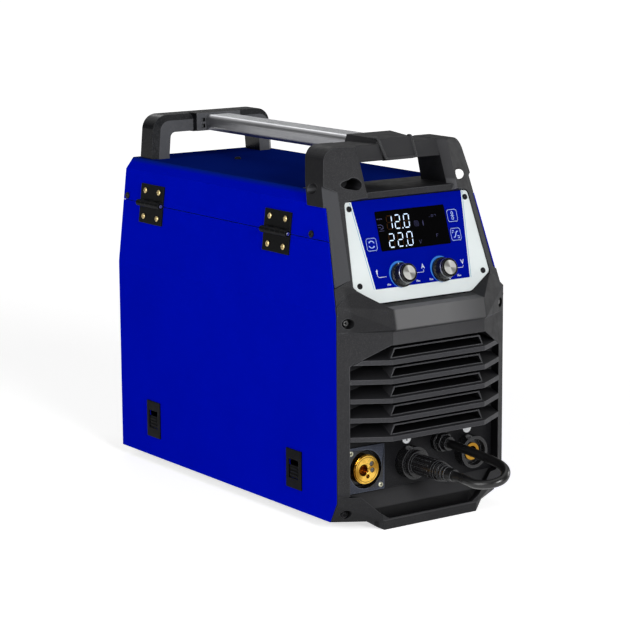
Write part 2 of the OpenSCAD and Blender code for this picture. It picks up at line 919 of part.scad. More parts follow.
module process_key() {
  key_cap(key_left);
}

module gas_key() {
  key_cap(key_gas);
}

module trigger_key() {
  key_cap(key_trigger);
}

knob_base = overlay_t + gap;
pointer_left = -13;
pointer_right = 150;
cap_r = 8.4;
// Knob with a skirt, a fluted grip and its shaft; the pointer starts straight up
module knob(turn) {
  rotate([0, 0, -turn]) {
    difference() {
      union() {
        translate([0, 0, knob_base])
          cylinder(r = knob_r, h = 3);
        translate([0, 0, knob_base + 3])
          cylinder(r1 = knob_r - 1.5, r2 = knob_r - 3.5, h = knob_h - 3);
      }
      for (i = [0:17])
        rotate([0, 0, 10 + i * 20])
          translate([knob_r - 1.2, 0, knob_base + 3.5])
            cylinder(r = 1.1, h = knob_h, $fn = 13);
      translate([0, 0, knob_base + knob_h - 1])
        cylinder(r = cap_r + fit, h = 5);
    }
    translate([0, 0, -8])
      cylinder(r = shaft_r, h = 9 + knob_base);
    translate([-0.6, cap_r + 1, knob_base + knob_h - 1])
      cube([1.2, 1.5, 1.2]);
  }
}

module knob_cap() {
  translate([0, 0, knob_base + knob_h - 1])
    cylinder(r = cap_r, h = 1.6);
}

module current_knob() {
  color("#141416")
    on_panel()
      translate([-knob_x, knob_mid, 0])
        knob(pointer_left);
}

module current_knob_cap() {
  color("#c9ccce")
    on_panel()
      translate([-knob_x, knob_mid, 0])
        knob_cap();
}

module voltage_knob() {
  color("#141416")
    on_panel()
      translate([knob_x, knob_mid, 0])
        knob(pointer_right);
}

module voltage_knob_cap() {
  color("#c9ccce")
    on_panel()
      translate([knob_x, knob_mid, 0])
        knob_cap();
}

module pan_head(r, h) {
  difference() {
    union() {
      cylinder(r = r, h = h * 0.5);
      translate([0, 0, h * 0.5])
        cylinder(r1 = r, r2 = r * 0.7, h = h * 0.5);
    }
    translate([0, 0, h * 0.5]) {
      translate([-r * 0.55, -r * 0.11, 0])
        cube([r * 1.1, r * 0.22, h]);
      translate([-r * 0.11, -r * 0.55, 0])
        cube([r * 0.22, r * 1.1, h]);
    }
  }
}

module plate_screws() {
  color("#17181a")
    on_panel()
      for (spot = plate_screw_spots)
        translate([spot[0], spot[1], 0]) {
          pan_head(3.4, 2);
          translate([0, 0, -plate_t - 2])
            cylinder(r = 1.6, h = plate_t + 2 + eps);
        }
}

module bezel_screws() {
  color("#1b1c1e")
    for (s = [-1, 1]) {
      translate([s * screw_well_x, -half_l - 2, screw_well_z])
        rotate([90, 0, 0])
          pan_head(4.5, 2.5);
      translate([s * screw_well_x, 0, screw_well_z])
        rod_y(2.3, -half_l - 2 - eps, -half_l + 3);
      translate([s * foot_screw_x, foot_screw_y, foot_screw_z])
        rotate([90, 0, 0])
          pan_head(4.5, 2.5);
      translate([s * foot_screw_x, 0, foot_screw_z])
        rod_y(2.3, foot_screw_y - eps, foot_screw_y + 8);
    }
}

// Screws that hold the cover: two by the seam on each side, two on top
module cover_screws() {
  rise = 5;
  color("#1b1c1e") {
    for (y = [half_l - 10, -half_l + 60]) {
      on_side(seam_z + rise)
        translate([0, y, 0])
          rotate([0, -90, 0])
            pan_head(4.2, 2.6);
      mirror([1, 0, 0])
        on_side(seam_z + rise)
          translate([0, y, 0])
            rotate([0, -90, 0])
              pan_head(4.2, 2.6);
    }
    for (y = [137, -60])
      translate([-4, y, top_z])
        pan_head(4.2, 2.6);
  }
}

// Places things on the left wall: local -x points out of it, z runs up its slope
module on_side(z) {
  translate([-side_x(z), 0, z])
    rotate([0, side_lean, 0])
      children();
}

// ---- sockets

dinse_neck_r = 14;
gland_neck_r = 8;
flange_t = 2;
module euro_flange() {
  color("#4a4d55")
    difference() {
      translate([euro_x - flange_w / 2, socket_y - flange_t, socket_z - flange_w / 2])
        cube([flange_w, flange_t, flange_w]);
      translate([euro_x, 0, socket_z])
        rod_y(cup_r, socket_y - 10, socket_y + 5);
      for (s = [-1, 1])
        translate([euro_x + s * 21.5, 0, socket_z - s * 21.5])
          rod_y(2, socket_y - 10, socket_y + 5);
    }
  // insulating cup round the socket, sunk into the panel
  color("#202124")
    translate([euro_x, 0, socket_z])
      difference() {
        rod_y(cup_r + 1.5, socket_y, socket_y + cup_depth + 2);
        rod_y(cup_r, socket_y - 10, socket_y + cup_depth);
        rod_y(euro_r + fit, socket_y - 10, socket_y + 20);
      }
  color("#c9a24a")
    for (s = [-1, 1])
      translate([euro_x + s * 21.5, 0, socket_z - s * 21.5]) {
        rod_y(2 - fit, socket_y - flange_t, socket_y);
        translate([0, socket_y - flange_t, 0])
          rotate([90, 0, 0])
            pan_head(3.2, 1.6);
      }
}

euro_front_y = socket_y - flange_t - euro_out;
euro_len = 43;
cup_depth = 9;
wire_x = euro_x - 4.5;
pin_spots = [[6.6, 6.3], [7.6, -1.6], [1.2, -8.2]];
module euro_socket() {
  color("#d2a24c")
    translate([euro_x, 0, socket_z])
      difference() {
        union() {
          rod_y(euro_r - 0.8, euro_front_y, euro_front_y + 2);
          rod_y(euro_r, euro_front_y + 2 - eps, euro_front_y + 26);
          rod_y(euro_r - 6, euro_front_y + 26 - eps, euro_front_y + euro_len);
        }
        translate([wire_x - euro_x, 0, 0]) {
          rod_y(euro_bore_r, euro_front_y - 5, euro_front_y + 24);
          translate([0, euro_front_y - eps, 0])
            rotate([-90, 0, 0])
              cylinder(r1 = euro_bore_r + 1, r2 = euro_bore_r, h = 1);
          rod_y(wire_d, euro_front_y, euro_front_y + euro_len + 5);
        }
        for (spot = pin_spots)
          translate([spot[0], 0, spot[1]])
            rod_y(2.4, euro_front_y - 5, euro_front_y + 14);
      }
}

module euro_pins() {
  color("#b9bcc0")
    for (i = [0:1])
      translate([euro_x + pin_spots[i][0], 0, socket_z + pin_spots[i][1]])
        difference() {
          rod_y(2.4 - fit, euro_front_y + 1, euro_front_y + 14);
          rod_y(1, euro_front_y - 5, euro_front_y + 9);
        }
}

// Insulating bodies of the two current sockets
module dinse_housings() {
  color("#151517")
    for (x = [plus_x, minus_x])
      translate([x, 0, socket_z])
        difference() {
          union() {
            rod_y(dinse_r, socket_y - dinse_out, socket_y);
            rod_y(dinse_neck_r - fit, socket_y - eps, socket_y + 18);
          }
          rod_y(dinse_r - 3.5, socket_y - dinse_out - 5, socket_y - dinse_out + 8);
          rod_y(insert_r + fit, socket_y - dinse_out, socket_y + 30);
        }
}

insert_r = 10.5;
module dinse_inserts() {
  color("#d2a24c")
    for (x = [plus_x, minus_x])
      translate([x, 0, socket_z])
        difference() {
          rod_y(insert_r, socket_y - dinse_out + 5, socket_y + 26);
          rod_y(dinse_bore_r, socket_y - dinse_out - 5, socket_y + 20);
        }
}

gland_out = 22;
module cable_gland() {
  color("#121214")
    translate([gland_x, 0, gland_z])
      difference() {
        union() {
          rod_y(gland_neck_r - fit, socket_y - eps, socket_y + 12);
          rod_y(12, socket_y - 7, socket_y);
          translate([0, socket_y - 7 + eps, 0])
            rotate([90, 0, 0])
              cylinder(r = 11.5, h = 8, $fn = 6);
          translate([0, socket_y - 15 + eps, 0])
            rotate([90, 0, 0])
              cylinder(r1 = 9.5, r2 = 8, h = gland_out - 15);
        }
        rod_y(lead_d / 2 + fit, socket_y - 40, socket_y + 20);
      }
}

plug_r = 12;
plug_front_y = socket_y - dinse_out - 42;
boot_l = 30;
boot_front_y = plug_front_y - boot_l;
plug_pin_r = dinse_bore_r - fit;
module polarity_plug() {
  color("#101012")
    translate([plus_x, 0, socket_z])
      union() {
        rod_y(plug_r, plug_front_y, socket_y - dinse_out + 4);
        rod_y(dinse_r - 3.5 - gap, socket_y - dinse_out - 6, socket_y - dinse_out + 4);
        for (i = [0:11])
          rotate([0, i * 30, 0])
            translate([plug_r - 0.6, 0, 0])
              rod_y(1, plug_front_y + 6, socket_y - dinse_out - 6);
      }
  color("#d2a24c")
    translate([plus_x, 0, socket_z])
      rod_y(plug_pin_r, socket_y - dinse_out + 4 - eps, socket_y + 14);
}

// Ribbed rubber boot that tapers from the plug to the lead
module plug_boot() {
  ribs = 5;
  tip_r = lead_d / 2 + 2;
  color("#131315")
    translate([plus_x, 0, socket_z])
      difference() {
        union() {
          translate([0, plug_front_y, 0])
            rotate([90, 0, 0])
              cylinder(r1 = plug_r - 2, r2 = tip_r, h = boot_l);
          for (i = [0:ribs - 1])
            translate([0, plug_front_y - 2 - i * 5, 0])
              rotate([90, 0, 0])
                cylinder(r = plug_r - i * 1.1, h = 2.6);
        }
        rod_y(lead_d / 2 + fit, boot_front_y - 5, boot_front_y + 12);
      }
}

// Polarity lead: out of the gland, round in front and back into the boot
lead_start_y = socket_y - gland_out + 4;
lead_points = [[gland_x, lead_start_y, gland_z], [gland_x, lead_start_y - 14, gland_z],
         [30, -300, 86], [30, -330, 84], [28, -350, 83], [23, -366, 81], [15, -377, 78],
         [6, -381, 74], [-3, -378, 71], [-10, -371, 69], [-15, -360, 68], [-16, -348, 69],
         [plus_x, boot_front_y - 10, socket_z], [plus_x, boot_front_y + 8, socket_z]];
lead_sides = 12;
lead_steps = 5;

// Smooth curve through the points: cubic between two points, bent by their neighbours
function bend_point(a, b, c, d, t) =
  0.5 * (2 * b + (c - a) * t + (2 * a - 5 * b + 4 * c - d) * t * t
       + (3 * b - a - 3 * c + d) * t * t * t);
function smooth_route(route) = let (last = len(route) - 1) [
  for (i = [0:last - 1], j = [0:lead_steps - 1])
    bend_point(route[max(i - 1, 0)], route[i], route[i + 1], route[min(i + 2, last)],
           j / lead_steps),
  route[last]];
function unit(v) = v / norm(v);
module swept_tube(route, r, sides) {
  last = len(route) - 1;
  dirs = [for (i = [0:last]) i == 0 || i == last ? [0, i == 0 ? -1 : 1, 0]
      : unit(route[i + 1] - route[i - 1])];
  rings = [for (i = [0:last]) let (side = unit(cross(dirs[i], [0, 0, 1])), up = cross(side, dirs[i]))
       for (k = [0:sides - 1])
         route[i] + r * (cos(360 * k / sides) * side + sin(360 * k / sides) * up)];
  walls = [for (i = [0:last - 1], k = [0:sides - 1]) let (n = (k + 1) % sides)
       each [[i * sides + k, i * sides + n, (i + 1) * sides + k],
           [i * sides + n, (i + 1) * sides + n, (i + 1) * sides + k]]];
  first_cap = [[for (k = [0:sides - 1]) sides - 1 - k]];
  last_cap = [[for (k = [0:sides - 1]) last * sides + k]];
  polyhedron(rings, concat(walls, first_cap, last_cap));
}

module polarity_lead() {
  color("#0d0d0f")
    swept_tube(smooth_route(lead_points), lead_d / 2, lead_sides);
}

// ---- handle

tube_z = top_z + tube_rise + tube_h / 2;
tube_front_y = -172;
tube_rear_y = rear_arch_y + 12;
box_y = rear_arch_y - 9;

// Flat-oval bar along Y that starts at y = 0
module tube_solid(w, h, length) {
  rotate([-90, 0, 0])
    linear_extrude(length)
      rounded_square([w, h], 6);
}

module handle_tube() {
  length = tube_rear_y - tube_front_y;
  color("#b7b9bc")
    translate([0, tube_front_y, tube_z])
      difference() {
        tube_solid(tube_w, tube_h, length);
        translate([0, -1, 0])
          tube_solid(tube_w - 2 * tube_wall, tube_h - 2 * tube_wall, length + 2);
        // shallow grooves along the top
        for (i = [-1.5:1:1.5])
          translate([i * 7 - 0.6, -1, tube_h / 2 - 0.5])
            cube([1.2, length + 2, 2]);
      }
}

rear_arch_top = tube_z + tube_h / 2 + 1.5;
module rear_arch_outline(shrink) {
  r = max(20 - shrink, 7);
  half = rear_arch_half - shrink;
  hull()
    for (s = [-1, 1]) {
      translate([s * (half - 3 - r), rear_arch_top - shrink - r])
        circle(r = r, $fn = 48);
      translate([s * (half - 3) - 3, top_z - (shrink > 15 ? 10 : 0)])
        square([6, 1]);
    }
}

module rear_arch() {
  box_half = tube_w / 2 + 14;
  bevel = 7;
  color("#26272a")
    difference() {
      union() {
        along(rear_arch_y + bevel, rear_arch_y + rear_arch_d)
          rear_arch_outline(0);
        // bevel round the front face
        hull() {
          along(rear_arch_y + bevel - eps, rear_arch_y + bevel + eps)
            rear_arch_outline(0);
          along(rear_arch_y, rear_arch_y + eps)
            rear_arch_outline(bevel);
        }
        // box that holds the end of the handle tube
        translate([-box_half, box_y, rear_arch_top - rear_arch_t])
          cube([2 * box_half, rear_arch_y - box_y + 10, rear_arch_t + 1]);
      }
      difference() {
        along(rear_arch_y - 5, rear_arch_y + rear_arch_d + 5)
          rear_arch_outline(rear_arch_t);
        translate([-box_half, 0, rear_arch_top - rear_arch_t - 1])
          cube([2 * box_half, half_l, 30]);
      }
      // channel at the back
      along(rear_arch_y + 12, rear_arch_y + rear_arch_d + 5)
        difference() {
          rear_arch_outline(4);
          rear_arch_outline(rear_arch_t - 4);
          translate([-box_half, 0])
            square([2 * box_half, 1000]);
          translate([-half_w, 0])
            square([case_w, top_z + 4]);
        }
      translate([0, rear_arch_y - 40, tube_z])
        tube_solid(tube_w + 2 * fit, tube_h + 2 * fit, 40 + tube_rear_y - rear_arch_y);
      // clearance pockets beside the tube
      for (s = [-1, 1], z = [-6.5, 1.5])
        translate([s * (tube_w / 2 + 4) - 3, box_y - 1, tube_z + z])
          cube([6, 6, 5]);
    }
}

// ---- hinges and latches

pin_out = knuckle_r + 0.4;
hinge_ys = [hinge_rear_y, hinge_front_y];
knuckles = 5;
knuckle_l = hinge_l / knuckles;
leaf_screw_spots = [-16, 16];

// One hinge leaf above the pin (up = 1) or below it (up = -1), with its own knuckles
module hinge_leaf(up) {
  on_side(seam_z)
    difference() {
      union() {
        translate([-leaf_t, -hinge_l / 2, up > 0 ? door_gap : -leaf_h - 4])
          cube([leaf_t, hinge_l, leaf_h + 4 - door_gap]);
        for (i = [(up > 0 ? 0 : 1):2:knuckles - 1])
          translate([0, -hinge_l / 2 + i * knuckle_l + gap / 2, 0]) {
            translate([-pin_out, 0, 0])
              rod_y(knuckle_r, 0, knuckle_l - gap);
            translate([-pin_out, 0, up > 0 ? 0 : -knuckle_r])
              cube([pin_out - 0.2, knuckle_l - gap, knuckle_r]);
          }
      }
      translate([-pin_out, 0, 0])
        rod_y(pin_r + fit, -hinge_l, hinge_l);
      // room for the other leaf's knuckles
      for (i = [(up > 0 ? 1 : 0):2:knuckles - 1])
        translate([-pin_out, -hinge_l / 2 + i * knuckle_l - gap / 2, 0])
          rod_y(knuckle_r + gap, 0, knuckle_l + gap);
      for (y = leaf_screw_spots)
        translate([-leaf_t - 1, y, up * (leaf_h / 2 + 6)])
          rotate([0, 90, 0])
            cylinder(r = 2.2, h = 10);
    }
}

module fixed_hinge_leaves() {
  color("#161719")
    for (y = hinge_ys)
      translate([0, y, 0])
        hinge_leaf(1);
}

module door_hinge_leaves() {
  color("#161719")
    for (y = hinge_ys)
      translate([0, y, 0])
        hinge_leaf(-1);
}

module hinge_pins() {
  color("#c4c7ca")
    for (y = hinge_ys)
      translate([0, y, 0])
        on_side(seam_z)
          translate([-pin_out, 0, 0])
            rod_y(pin_r, -hinge_l / 2 - 0.8, hinge_l / 2 + 0.8);
}

module leaf_screws(up) {
  color("#b39b5e")
    for (hinge_y = hinge_ys, y = leaf_screw_spots)
      translate([0, hinge_y + y, 0])
        on_side(seam_z)
          translate([0, 0, up * (leaf_h / 2 + 6)])
            rotate([0, -90, 0]) {
              cylinder(r = 2.2 - fit, h = leaf_t);
              translate([0, 0, leaf_t])
                pan_head(3.6, 1.4);
            }
}

module fixed_hinge_screws() {
  leaf_screws(1);
}

module door_hinge_screws() {
  leaf_screws(-1);
}

latch_mid_z = foot_h + 49;
slider_w = 19;
slider_h = 15;
window_h = slider_h + latch_travel + 2 * gap;
frame_proud = 1.6;
module latch_frames() {
  color("#131416")
    for (y = [latch_rear_y, latch_front_y])
      difference() {
        translate([-half_w - frame_proud, y - latch_w / 2, latch_mid_z - latch_h / 2])
          cube([frame_proud, latch_w, latch_h]);
        translate([-half_w - 5, y - slider_w / 2 - gap, latch_mid_z - window_h / 2])
          cube([8, slider_w + 2 * gap, window_h]);
      }
}

// Finger slider with three grip ribs; it starts at the bottom of its window
module latch_slider(y) {
  low = latch_mid_z - window_h / 2 + gap;
  color("#1b1c1f") {
    translate([-half_w - 0.5, y - slider_w / 2, low])
      cube([sheet + 0.5 + gap + 1.5, slider_w, slider_h]);
    for (i = [0:2])
      translate([-half_w - 1.5, y - slider_w / 2 + 2, low + 3 + i * 4])
        cube([1 + eps, slider_w - 4, 1.4]);
    // tongue behind the door sheet
    translate([-half_w + sheet + gap, y - slider_w / 2 - 4, low - 6])
      cube([1.5, slider_w + 8, slider_h + 2]);
  }
}

module rear_latch_slider() {
  latch_slider(latch_rear_y);
}

module front_latch_slider() {
  latch_slider(latch_front_y);
}

// ---- wire drive

feed_y = -150;
drive_z = socket_z - wire_d / 2 - drive_r - fit;
press_z = socket_z + wire_d / 2 + press_r + fit;
roll_w = 12;
plate_x = wire_x + 14;
feeder_t = 6;
arm_pivot_y = feed_y + 38;
arm_pivot_z = press_z + 10;
motor_l = 80;

// Casting that carries motor, rolls and arm, on two feet fixed to the divider
module feeder_plate() {
  color("#9a9da1")
    difference() {
      union() {
        translate([plate_x, feed_y - 42, foot_h + 16])
          cube([feeder_t, 96, 94]);
        for (y = [feed_y - 40, feed_y + 42])
          translate([plate_x + feeder_t - eps, y, foot_h + 70])
            cube([divider_x - plate_x - feeder_t + eps, 10, 24]);
        translate([0, arm_pivot_y, arm_pivot_z])
          rod_x(4 - fit, wire_x - roll_w / 2, plate_x + eps);
      }
      translate([0, feed_y, drive_z])
        rod_x(6, plate_x - 5, plate_x + feeder_t + 5);
    }
}

module feed_motor() {
  color("#2a2b2e")
    translate([0, feed_y, drive_z]) {
      rod_x(motor_r, plate_x + feeder_t, plate_x + feeder_t + motor_l);
      rod_x(6 - fit, plate_x + 1, plate_x + feeder_t + eps);
    }
}

module drive_roll() {
  x0 = wire_x - roll_w / 2;
  color("#8f9296")
    translate([0, feed_y, drive_z])
      difference() {
        union() {
          rod_x(drive_r, x0, x0 + roll_w);
          rod_x(6, x0 - 3, x0 + eps);
          rod_x(4, x0 + roll_w - eps, plate_x + 1 - gap);
        }
        for (i = [0:5])
          rotate([i * 60, 0, 0])
            translate([0, 9.5, 0])
              rod_x(1.6, x0 - 1, x0 + roll_w + 1);
      }
}

// Arm over the rolls; it lifts round its rear pivot
module pressure_arm() {
  x0 = plate_x - gap - 5;
  color("#34363a")
    difference() {
      union() {
        translate([x0, feed_y - 36, press_z - 5])
          cube([5, 60, 13]);
        translate([0, arm_pivot_y, arm_pivot_z])
          rod_x(8, x0, x0 + 5);
        convex([for (x = [x0, x0 + 5]) each [
          [x, feed_y + 23, press_z - 5], [x, feed_y + 23, press_z + 8],
          [x, arm_pivot_y, arm_pivot_z - 6], [x, arm_pivot_y, arm_pivot_z + 6]]]);
        translate([wire_x - 7, feed_y - 36, press_z + 3])
          cube([x0 - wire_x + 7 + eps, 14, 5]);
        translate([0, feed_y, press_z])
          rod_x(3.5, wire_x - roll_w / 2 - 3, x0 + eps);
      }
      translate([0, arm_pivot_y, arm_pivot_z])
        rod_x(4, plate_x - 20, plate_x + 1);
      translate([wire_x, feed_y - 29, press_z - 5])
        cylinder(r = 2.5 + fit, h = 20);
    }
}

module pressure_roll() {
  x0 = wire_x - roll_w / 2 + 1;
  color("#c4c7ca")
    translate([0, feed_y, press_z])
      difference() {
        rod_x(press_r, x0, x0 + roll_w - 3);
        rod_x(3.5 + fit, x0 - 5, x0 + roll_w + 5);
        rotate_x_ring(x0 + (roll_w - 3) / 2);
      }
}

// Shallow ring grooves in the face of the roll
module rotate_x_ring(x) {
  for (side = [-1, 1])
    translate([x + side * ((roll_w - 3) / 2 + 0.5), 0, 0])
      rotate([0, 90, 0])
        difference() {
          cylinder(r = 9, h = 2, center = true);
          cylinder(r = 6.5, h = 3, center = true);
        }
}

// Knob, spring and rod that set the pressure
module tension_knob() {
  base = press_z + 8 + gap;
  color("#15161a")
    translate([wire_x, feed_y - 29, 0]) {
      translate([0, 0, base])
        cylinder(r = 5.5, h = 18);
      translate([0, 0, base + 18 - eps])
        cylinder(r = 9, h = 16);
      for (i = [0:7])
        rotate([0, 0, i * 45])
          translate([9, 0, base + 19])
            cylinder(r = 1.4, h = 14, $fn = 13);
      translate([0, 0, press_z - 3])
        cylinder(r = 2.5, h = base - press_z + 4);
      translate([0, 0, press_z - 6])
        cylinder(r = 4.5, h = 6);
    }
}

// Inlet and outlet guides of the wire, each on its own block
module wire_guides() {
  color("#c4c7ca")
    for (span = [[feed_y + 20, feed_y + 50], [euro_front_y + euro_len + 0.2, feed_y - 18]])
      translate([wire_x, 0, socket_z])
        difference() {
          union() {
            rod_y(3.2, span[0], span[1]);
            translate([0, (span[0] + span[1]) / 2 - 4, -4])
              cube([plate_x - wire_x, 8, 8]);
          }
          rod_y(wire_d, span[0] - 1, span[1] + 1);
        }
}

wind_r = 86;
module welding_wire() {
  start = [wire_x, feed_y + 52, socket_z];
  // the wire leaves the bottom of the winding
  reach = [0, spool_y - start[1], spool_z - start[2]];
  span = norm(reach);
  rise = atan2(reach[2], reach[1]) - asin(wind_r / span);
  run = sqrt(span * span - wind_r * wind_r);
  color("#b98a58") {
    translate([wire_x, 0, socket_z])
      rod_y(wire_d / 2, euro_front_y + 31, start[1]);
    translate(start)
      rotate([rise, 0, 0])
        rod_y(wire_d / 2, 0, run);
  }
}

hub_bolt_r = 5;
hub_front_x = euro_x - spool_w / 2 - 3;
module spool_hub() {
  color("#1c1d20")
    translate([0, spool_y, spool_z]) {
      rod_x(hub_r + 12, divider_x - 6, divider_x);
      rod_x(hub_r, hub_front_x, divider_x - 6 + eps);
      rod_x(hub_bolt_r, divider_x - eps, divider_x + 8);
    }
}

// Large hand nut that keeps the spool on the hub
module spool_nut() {
  color("#17181b")
    translate([0, spool_y, spool_z]) {
      rod_x(hub_r - 2, hub_front_x - 6, hub_front_x);
      for (i = [0:5])
        rotate([i * 60, 0, 0])
          translate([0, hub_r - 1, 0])
            rod_x(4.5, hub_front_x - 5.5, hub_front_x - 0.5);
    }
}

flange_w3 = 3;
core_r = 52;
module wire_spool() {
  color("#202226")
    translate([euro_x - spool_w / 2, spool_y, spool_z])
      rotate([0, 90, 0])
        difference() {
          union() {
            cylinder(r = spool_r, h = flange_w3, $fn = 96);
            cylinder(r = core_r, h = spool_w, $fn = 96);
            translate([0, 0, spool_w - flange_w3])
              cylinder(r = spool_r, h = flange_w3, $fn = 96);
          }
          translate([0, 0, -1])
            cylinder(r = hub_r + 0.09, h = spool_w + 2);
          translate([0, 0, flange_w3])
            difference() {
              cylinder(r = core_r - 3, h = spool_w, $fn = 96);
              cylinder(r = hub_r + 4, h = spool_w);
            }
          for (i = [0:5])
            rotate([0, 0, i * 60 + 30])
              translate([70, 0, -1])
                cylinder(r = 9, h = flange_w3 + 2);
        }
}

module wire_winding() {
  color("#b98a58")
    translate([euro_x - spool_w / 2 + flange_w3, spool_y, spool_z])
      rotate([0, 90, 0])
        difference() {
          cylinder(r = wind_r - 1, h = spool_w - 2 * flange_w3, $fn = 96);
          translate([0, 0, -1])
            cylinder(r = core_r, h = spool_w, $fn = 96);
        }
}

// ---- electronics

board_z = foot_h + 190;
board_y0 = -140;
board_y1 = 150;
// Inverter board with its capacitors, on a ledge of the divider
module power_board() {
  x0 = divider_x + sheet;
  color("#1d6b3c")
    translate([x0, board_y0, board_z])
      cube([120, board_y1 - board_y0, 1.6]);
  color("#22252b")
    for (i = [0:3])
      translate([x0 + 30, board_y0 + 40 + i * 40, board_z + 1.6 - eps])
        cylinder(r = 15, h = 45);
  color("#3d4046")
    translate([x0 + 60, board_y0 + 30, board_z + 1.6 - eps])
      cube([45, 60, 30]);
}

module heat_sinks() {
  x0 = divider_x + sheet;
  fins = 9;
  color("#a6a9ad")
    for (y = [-60, 60])
      translate([x0, y, foot_h + sheet]) {
        cube([110, 90, 8]);
        for (i = [0:fins - 1])
          translate([2 + i * 13, 0, 8 - eps])
            cube([3, 90, 45]);
      }
}

module transformer() {
  color("#3a3b3d")
    difference() {
      translate([40, -200, foot_h + sheet])
        cube([70, 60, 62]);
      translate([56, -210, foot_h + sheet + 14])
        cube([38, 100, 34]);
    }
  color("#b5713a")
    translate([56.3, -208, foot_h + sheet + 14.3])
      cube([37.4, 76, 33.4]);
}

// ---- rear

rear_in = 1.2;
rear_y = half_l - 4;
module rear_panel() {
  color("#2b2d31")
    difference() {
      union() {
        along(rear_y, rear_y + 2)
          difference() {
            case_outline(sheet + 0.6);
            polygon([[-half_w - 5, 0], [half_w + 5, 0], [half_w + 5, foot_h + sheet],
                 [-half_w - 5, foot_h + sheet]]);
          }
        // raised rim that stands out behind the case
        along(rear_y + 2 - eps, half_l + 5)
          difference() {
            case_outline(9);
            case_outline(15);
          }
      }
      translate([fan_x, 0, fan_z])
        rod_y(fan_w / 2 - 4, rear_y - 10, rear_y + 20);
      translate([switch_x, rear_y, switch_z])
        cube([switch_w + 2 * gap, 30, switch_h + 2 * gap], center = true);
      translate([mains_x, 0, fit_z + 20])
        rod_y(10, rear_y - 10, rear_y + 20);
      translate([euro_x, 0, socket_z])
        rod_y(6, rear_y - 10, rear_y + 20);
    }
}
switch_x = 60;
switch_w = 22;
switch_h = 30;
switch_z = 290;
fit_z = 270;
mains_x = 5;

// Guard of concentric rings in front of the fan
module fan_grille() {
  color("#17181a")
    translate([fan_x, rear_y + 2, fan_z])
      rotate([-90, 0, 0]) {
        for (r = [14:11:fan_w / 2 + 2])
          difference() {
            cylinder(r = r + 1.2, h = 2.4);
            translate([0, 0, -1])
              cylinder(r = r - 1.2, h = 5);
          }
        for (a = [0:3])
          rotate([0, 0, 45 * a])
            translate([-fan_w / 2 - 2, -1.5, 0.4])
              cube([fan_w + 4, 3, 1.6]);
        cylinder(r = 4, h = 2.4);
      }
}

module fan_frame() {
  color("#1a1b1d")
    difference() {
      translate([fan_x - fan_w / 2, rear_y - 38, fan_z - fan_w / 2])
        cube([fan_w, 38, fan_w]);
      translate([fan_x, 0, fan_z])
        rod_y(fan_w / 2 - 3, rear_y - 50, rear_y - 5);
      translate([fan_x, 0, fan_z])
        rod_y(fan_w / 2 - 4, rear_y - 20, rear_y + 5);
    }
  // motor boss on four struts at the inner side
  color("#1a1b1d")
    translate([fan_x, rear_y - 38, fan_z])
      rotate([-90, 0, 0]) {
        cylinder(r = 20, h = 5);
        cylinder(r = fan_pin_r, h = 22);
        for (a = [0:3])
          rotate([0, 0, 90 * a + 45])
            translate([0, -2.5, 0])
              cube([fan_w / 2 - 1, 5, 4]);
      }
}
fan_pin_r = 3;

module fan_rotor() {
  blades = 7;
  color("#2c2d30")
    translate([fan_x, rear_y - 32, fan_z])
      rotate([-90, 0, 0])
        difference() {
          union() {
            cylinder(r = 19, h = 22);
            for (i = [0:blades - 1])
              rotate([0, 0, i * 360 / blades])
                translate([16, 0, 11])
                  rotate([35, 0, 0])
                    translate([0, -14, -1])
                      cube([fan_w / 2 - 24, 28, 2]);
          }
          translate([0, 0, -1])
            cylinder(r = fan_pin_r + fit, h = 18);
        }
}

// Rocker that turns round its own middle; it is stored switched off, top out
rocker_tilt = 8;
module power_switch() {
  color("#b01919")
    translate([switch_x - switch_w / 2, rear_y + 1, switch_z])
      rotate([-rocker_tilt, 0, 0])
        rotate([90, 0, 90])
          linear_extrude(switch_w)
            difference() {
              polygon([[4.5, -switch_h / 2 + 0.8], [5, switch_h / 2 - 0.8], [2.5, 0],
                   [-4, switch_h / 2 - 3], [-9, 0], [-4, -switch_h / 2 + 3]]);
              circle(r = 1.5);
            }
}

// Gas inlet barb and the gland of the mains lead
module rear_fittings() {
  color("#d2a24c")
    translate([euro_x, 0, socket_z])
      difference() {
        union() {
          rod_y(6 - fit, rear_y - 12, rear_y + 6);
          rod_y(9, rear_y + 2, rear_y + 8);
          rod_y(gas_r, rear_y + 8 - eps, nose_out + half_l);
          for (i = [1:3])
            translate([0, nose_out + half_l - 9 * i + 6, 0])
              rotate([90, 0, 0])
                cylinder(r1 = gas_r, r2 = gas_r + 0.9, h = 5);
        }
        rod_y(2, rear_y - 20, rear_y + 60);
      }
  color("#131315")
    translate([mains_x, 0, fit_z + 20])
      difference() {
        union() {
          rod_y(10 - fit, rear_y - 10, rear_y + 3);
          translate([0, rear_y + 9, 0])
            rotate([90, 0, 0])
              cylinder(r = 14, h = 7, $fn = 6);
          rod_y(9.5, rear_y + 9 - eps, rear_y + 17);
        }
        rod_y(mains_r, rear_y - 20, rear_y + 40);
      }
}

base_tray();
divider_wall();
cover_shell();
side_door();
front_bezel();
louvre_grille();
socket_panel();
rear_panel();
fan_grille();
rear_arch();
handle_tube();
control_plate();
panel_overlay();
display_window();
process_key();
gas_key();
trigger_key();
current_knob();
current_knob_cap();
voltage_knob();
voltage_knob_cap();
plate_screws();
bezel_screws();
cover_screws();
euro_flange();
euro_socket();
euro_pins();
dinse_housings();
dinse_inserts();
cable_gland();
polarity_plug();
plug_boot();
polarity_lead();
fixed_hinge_leaves();
door_hinge_leaves();
hinge_pins();
fixed_hinge_screws();
door_hinge_screws();
latch_frames();
rear_latch_slider();
front_latch_slider();
feeder_plate();
feed_motor();
drive_roll();
pressure_arm();
pressure_roll();
tension_knob();
wire_guides();
welding_wire();
spool_hub();
spool_nut();
wire_spool();
wire_winding();
power_board();
heat_sinks();
transformer();
fan_frame();
fan_rotor();
power_switch();
rear_fittings();
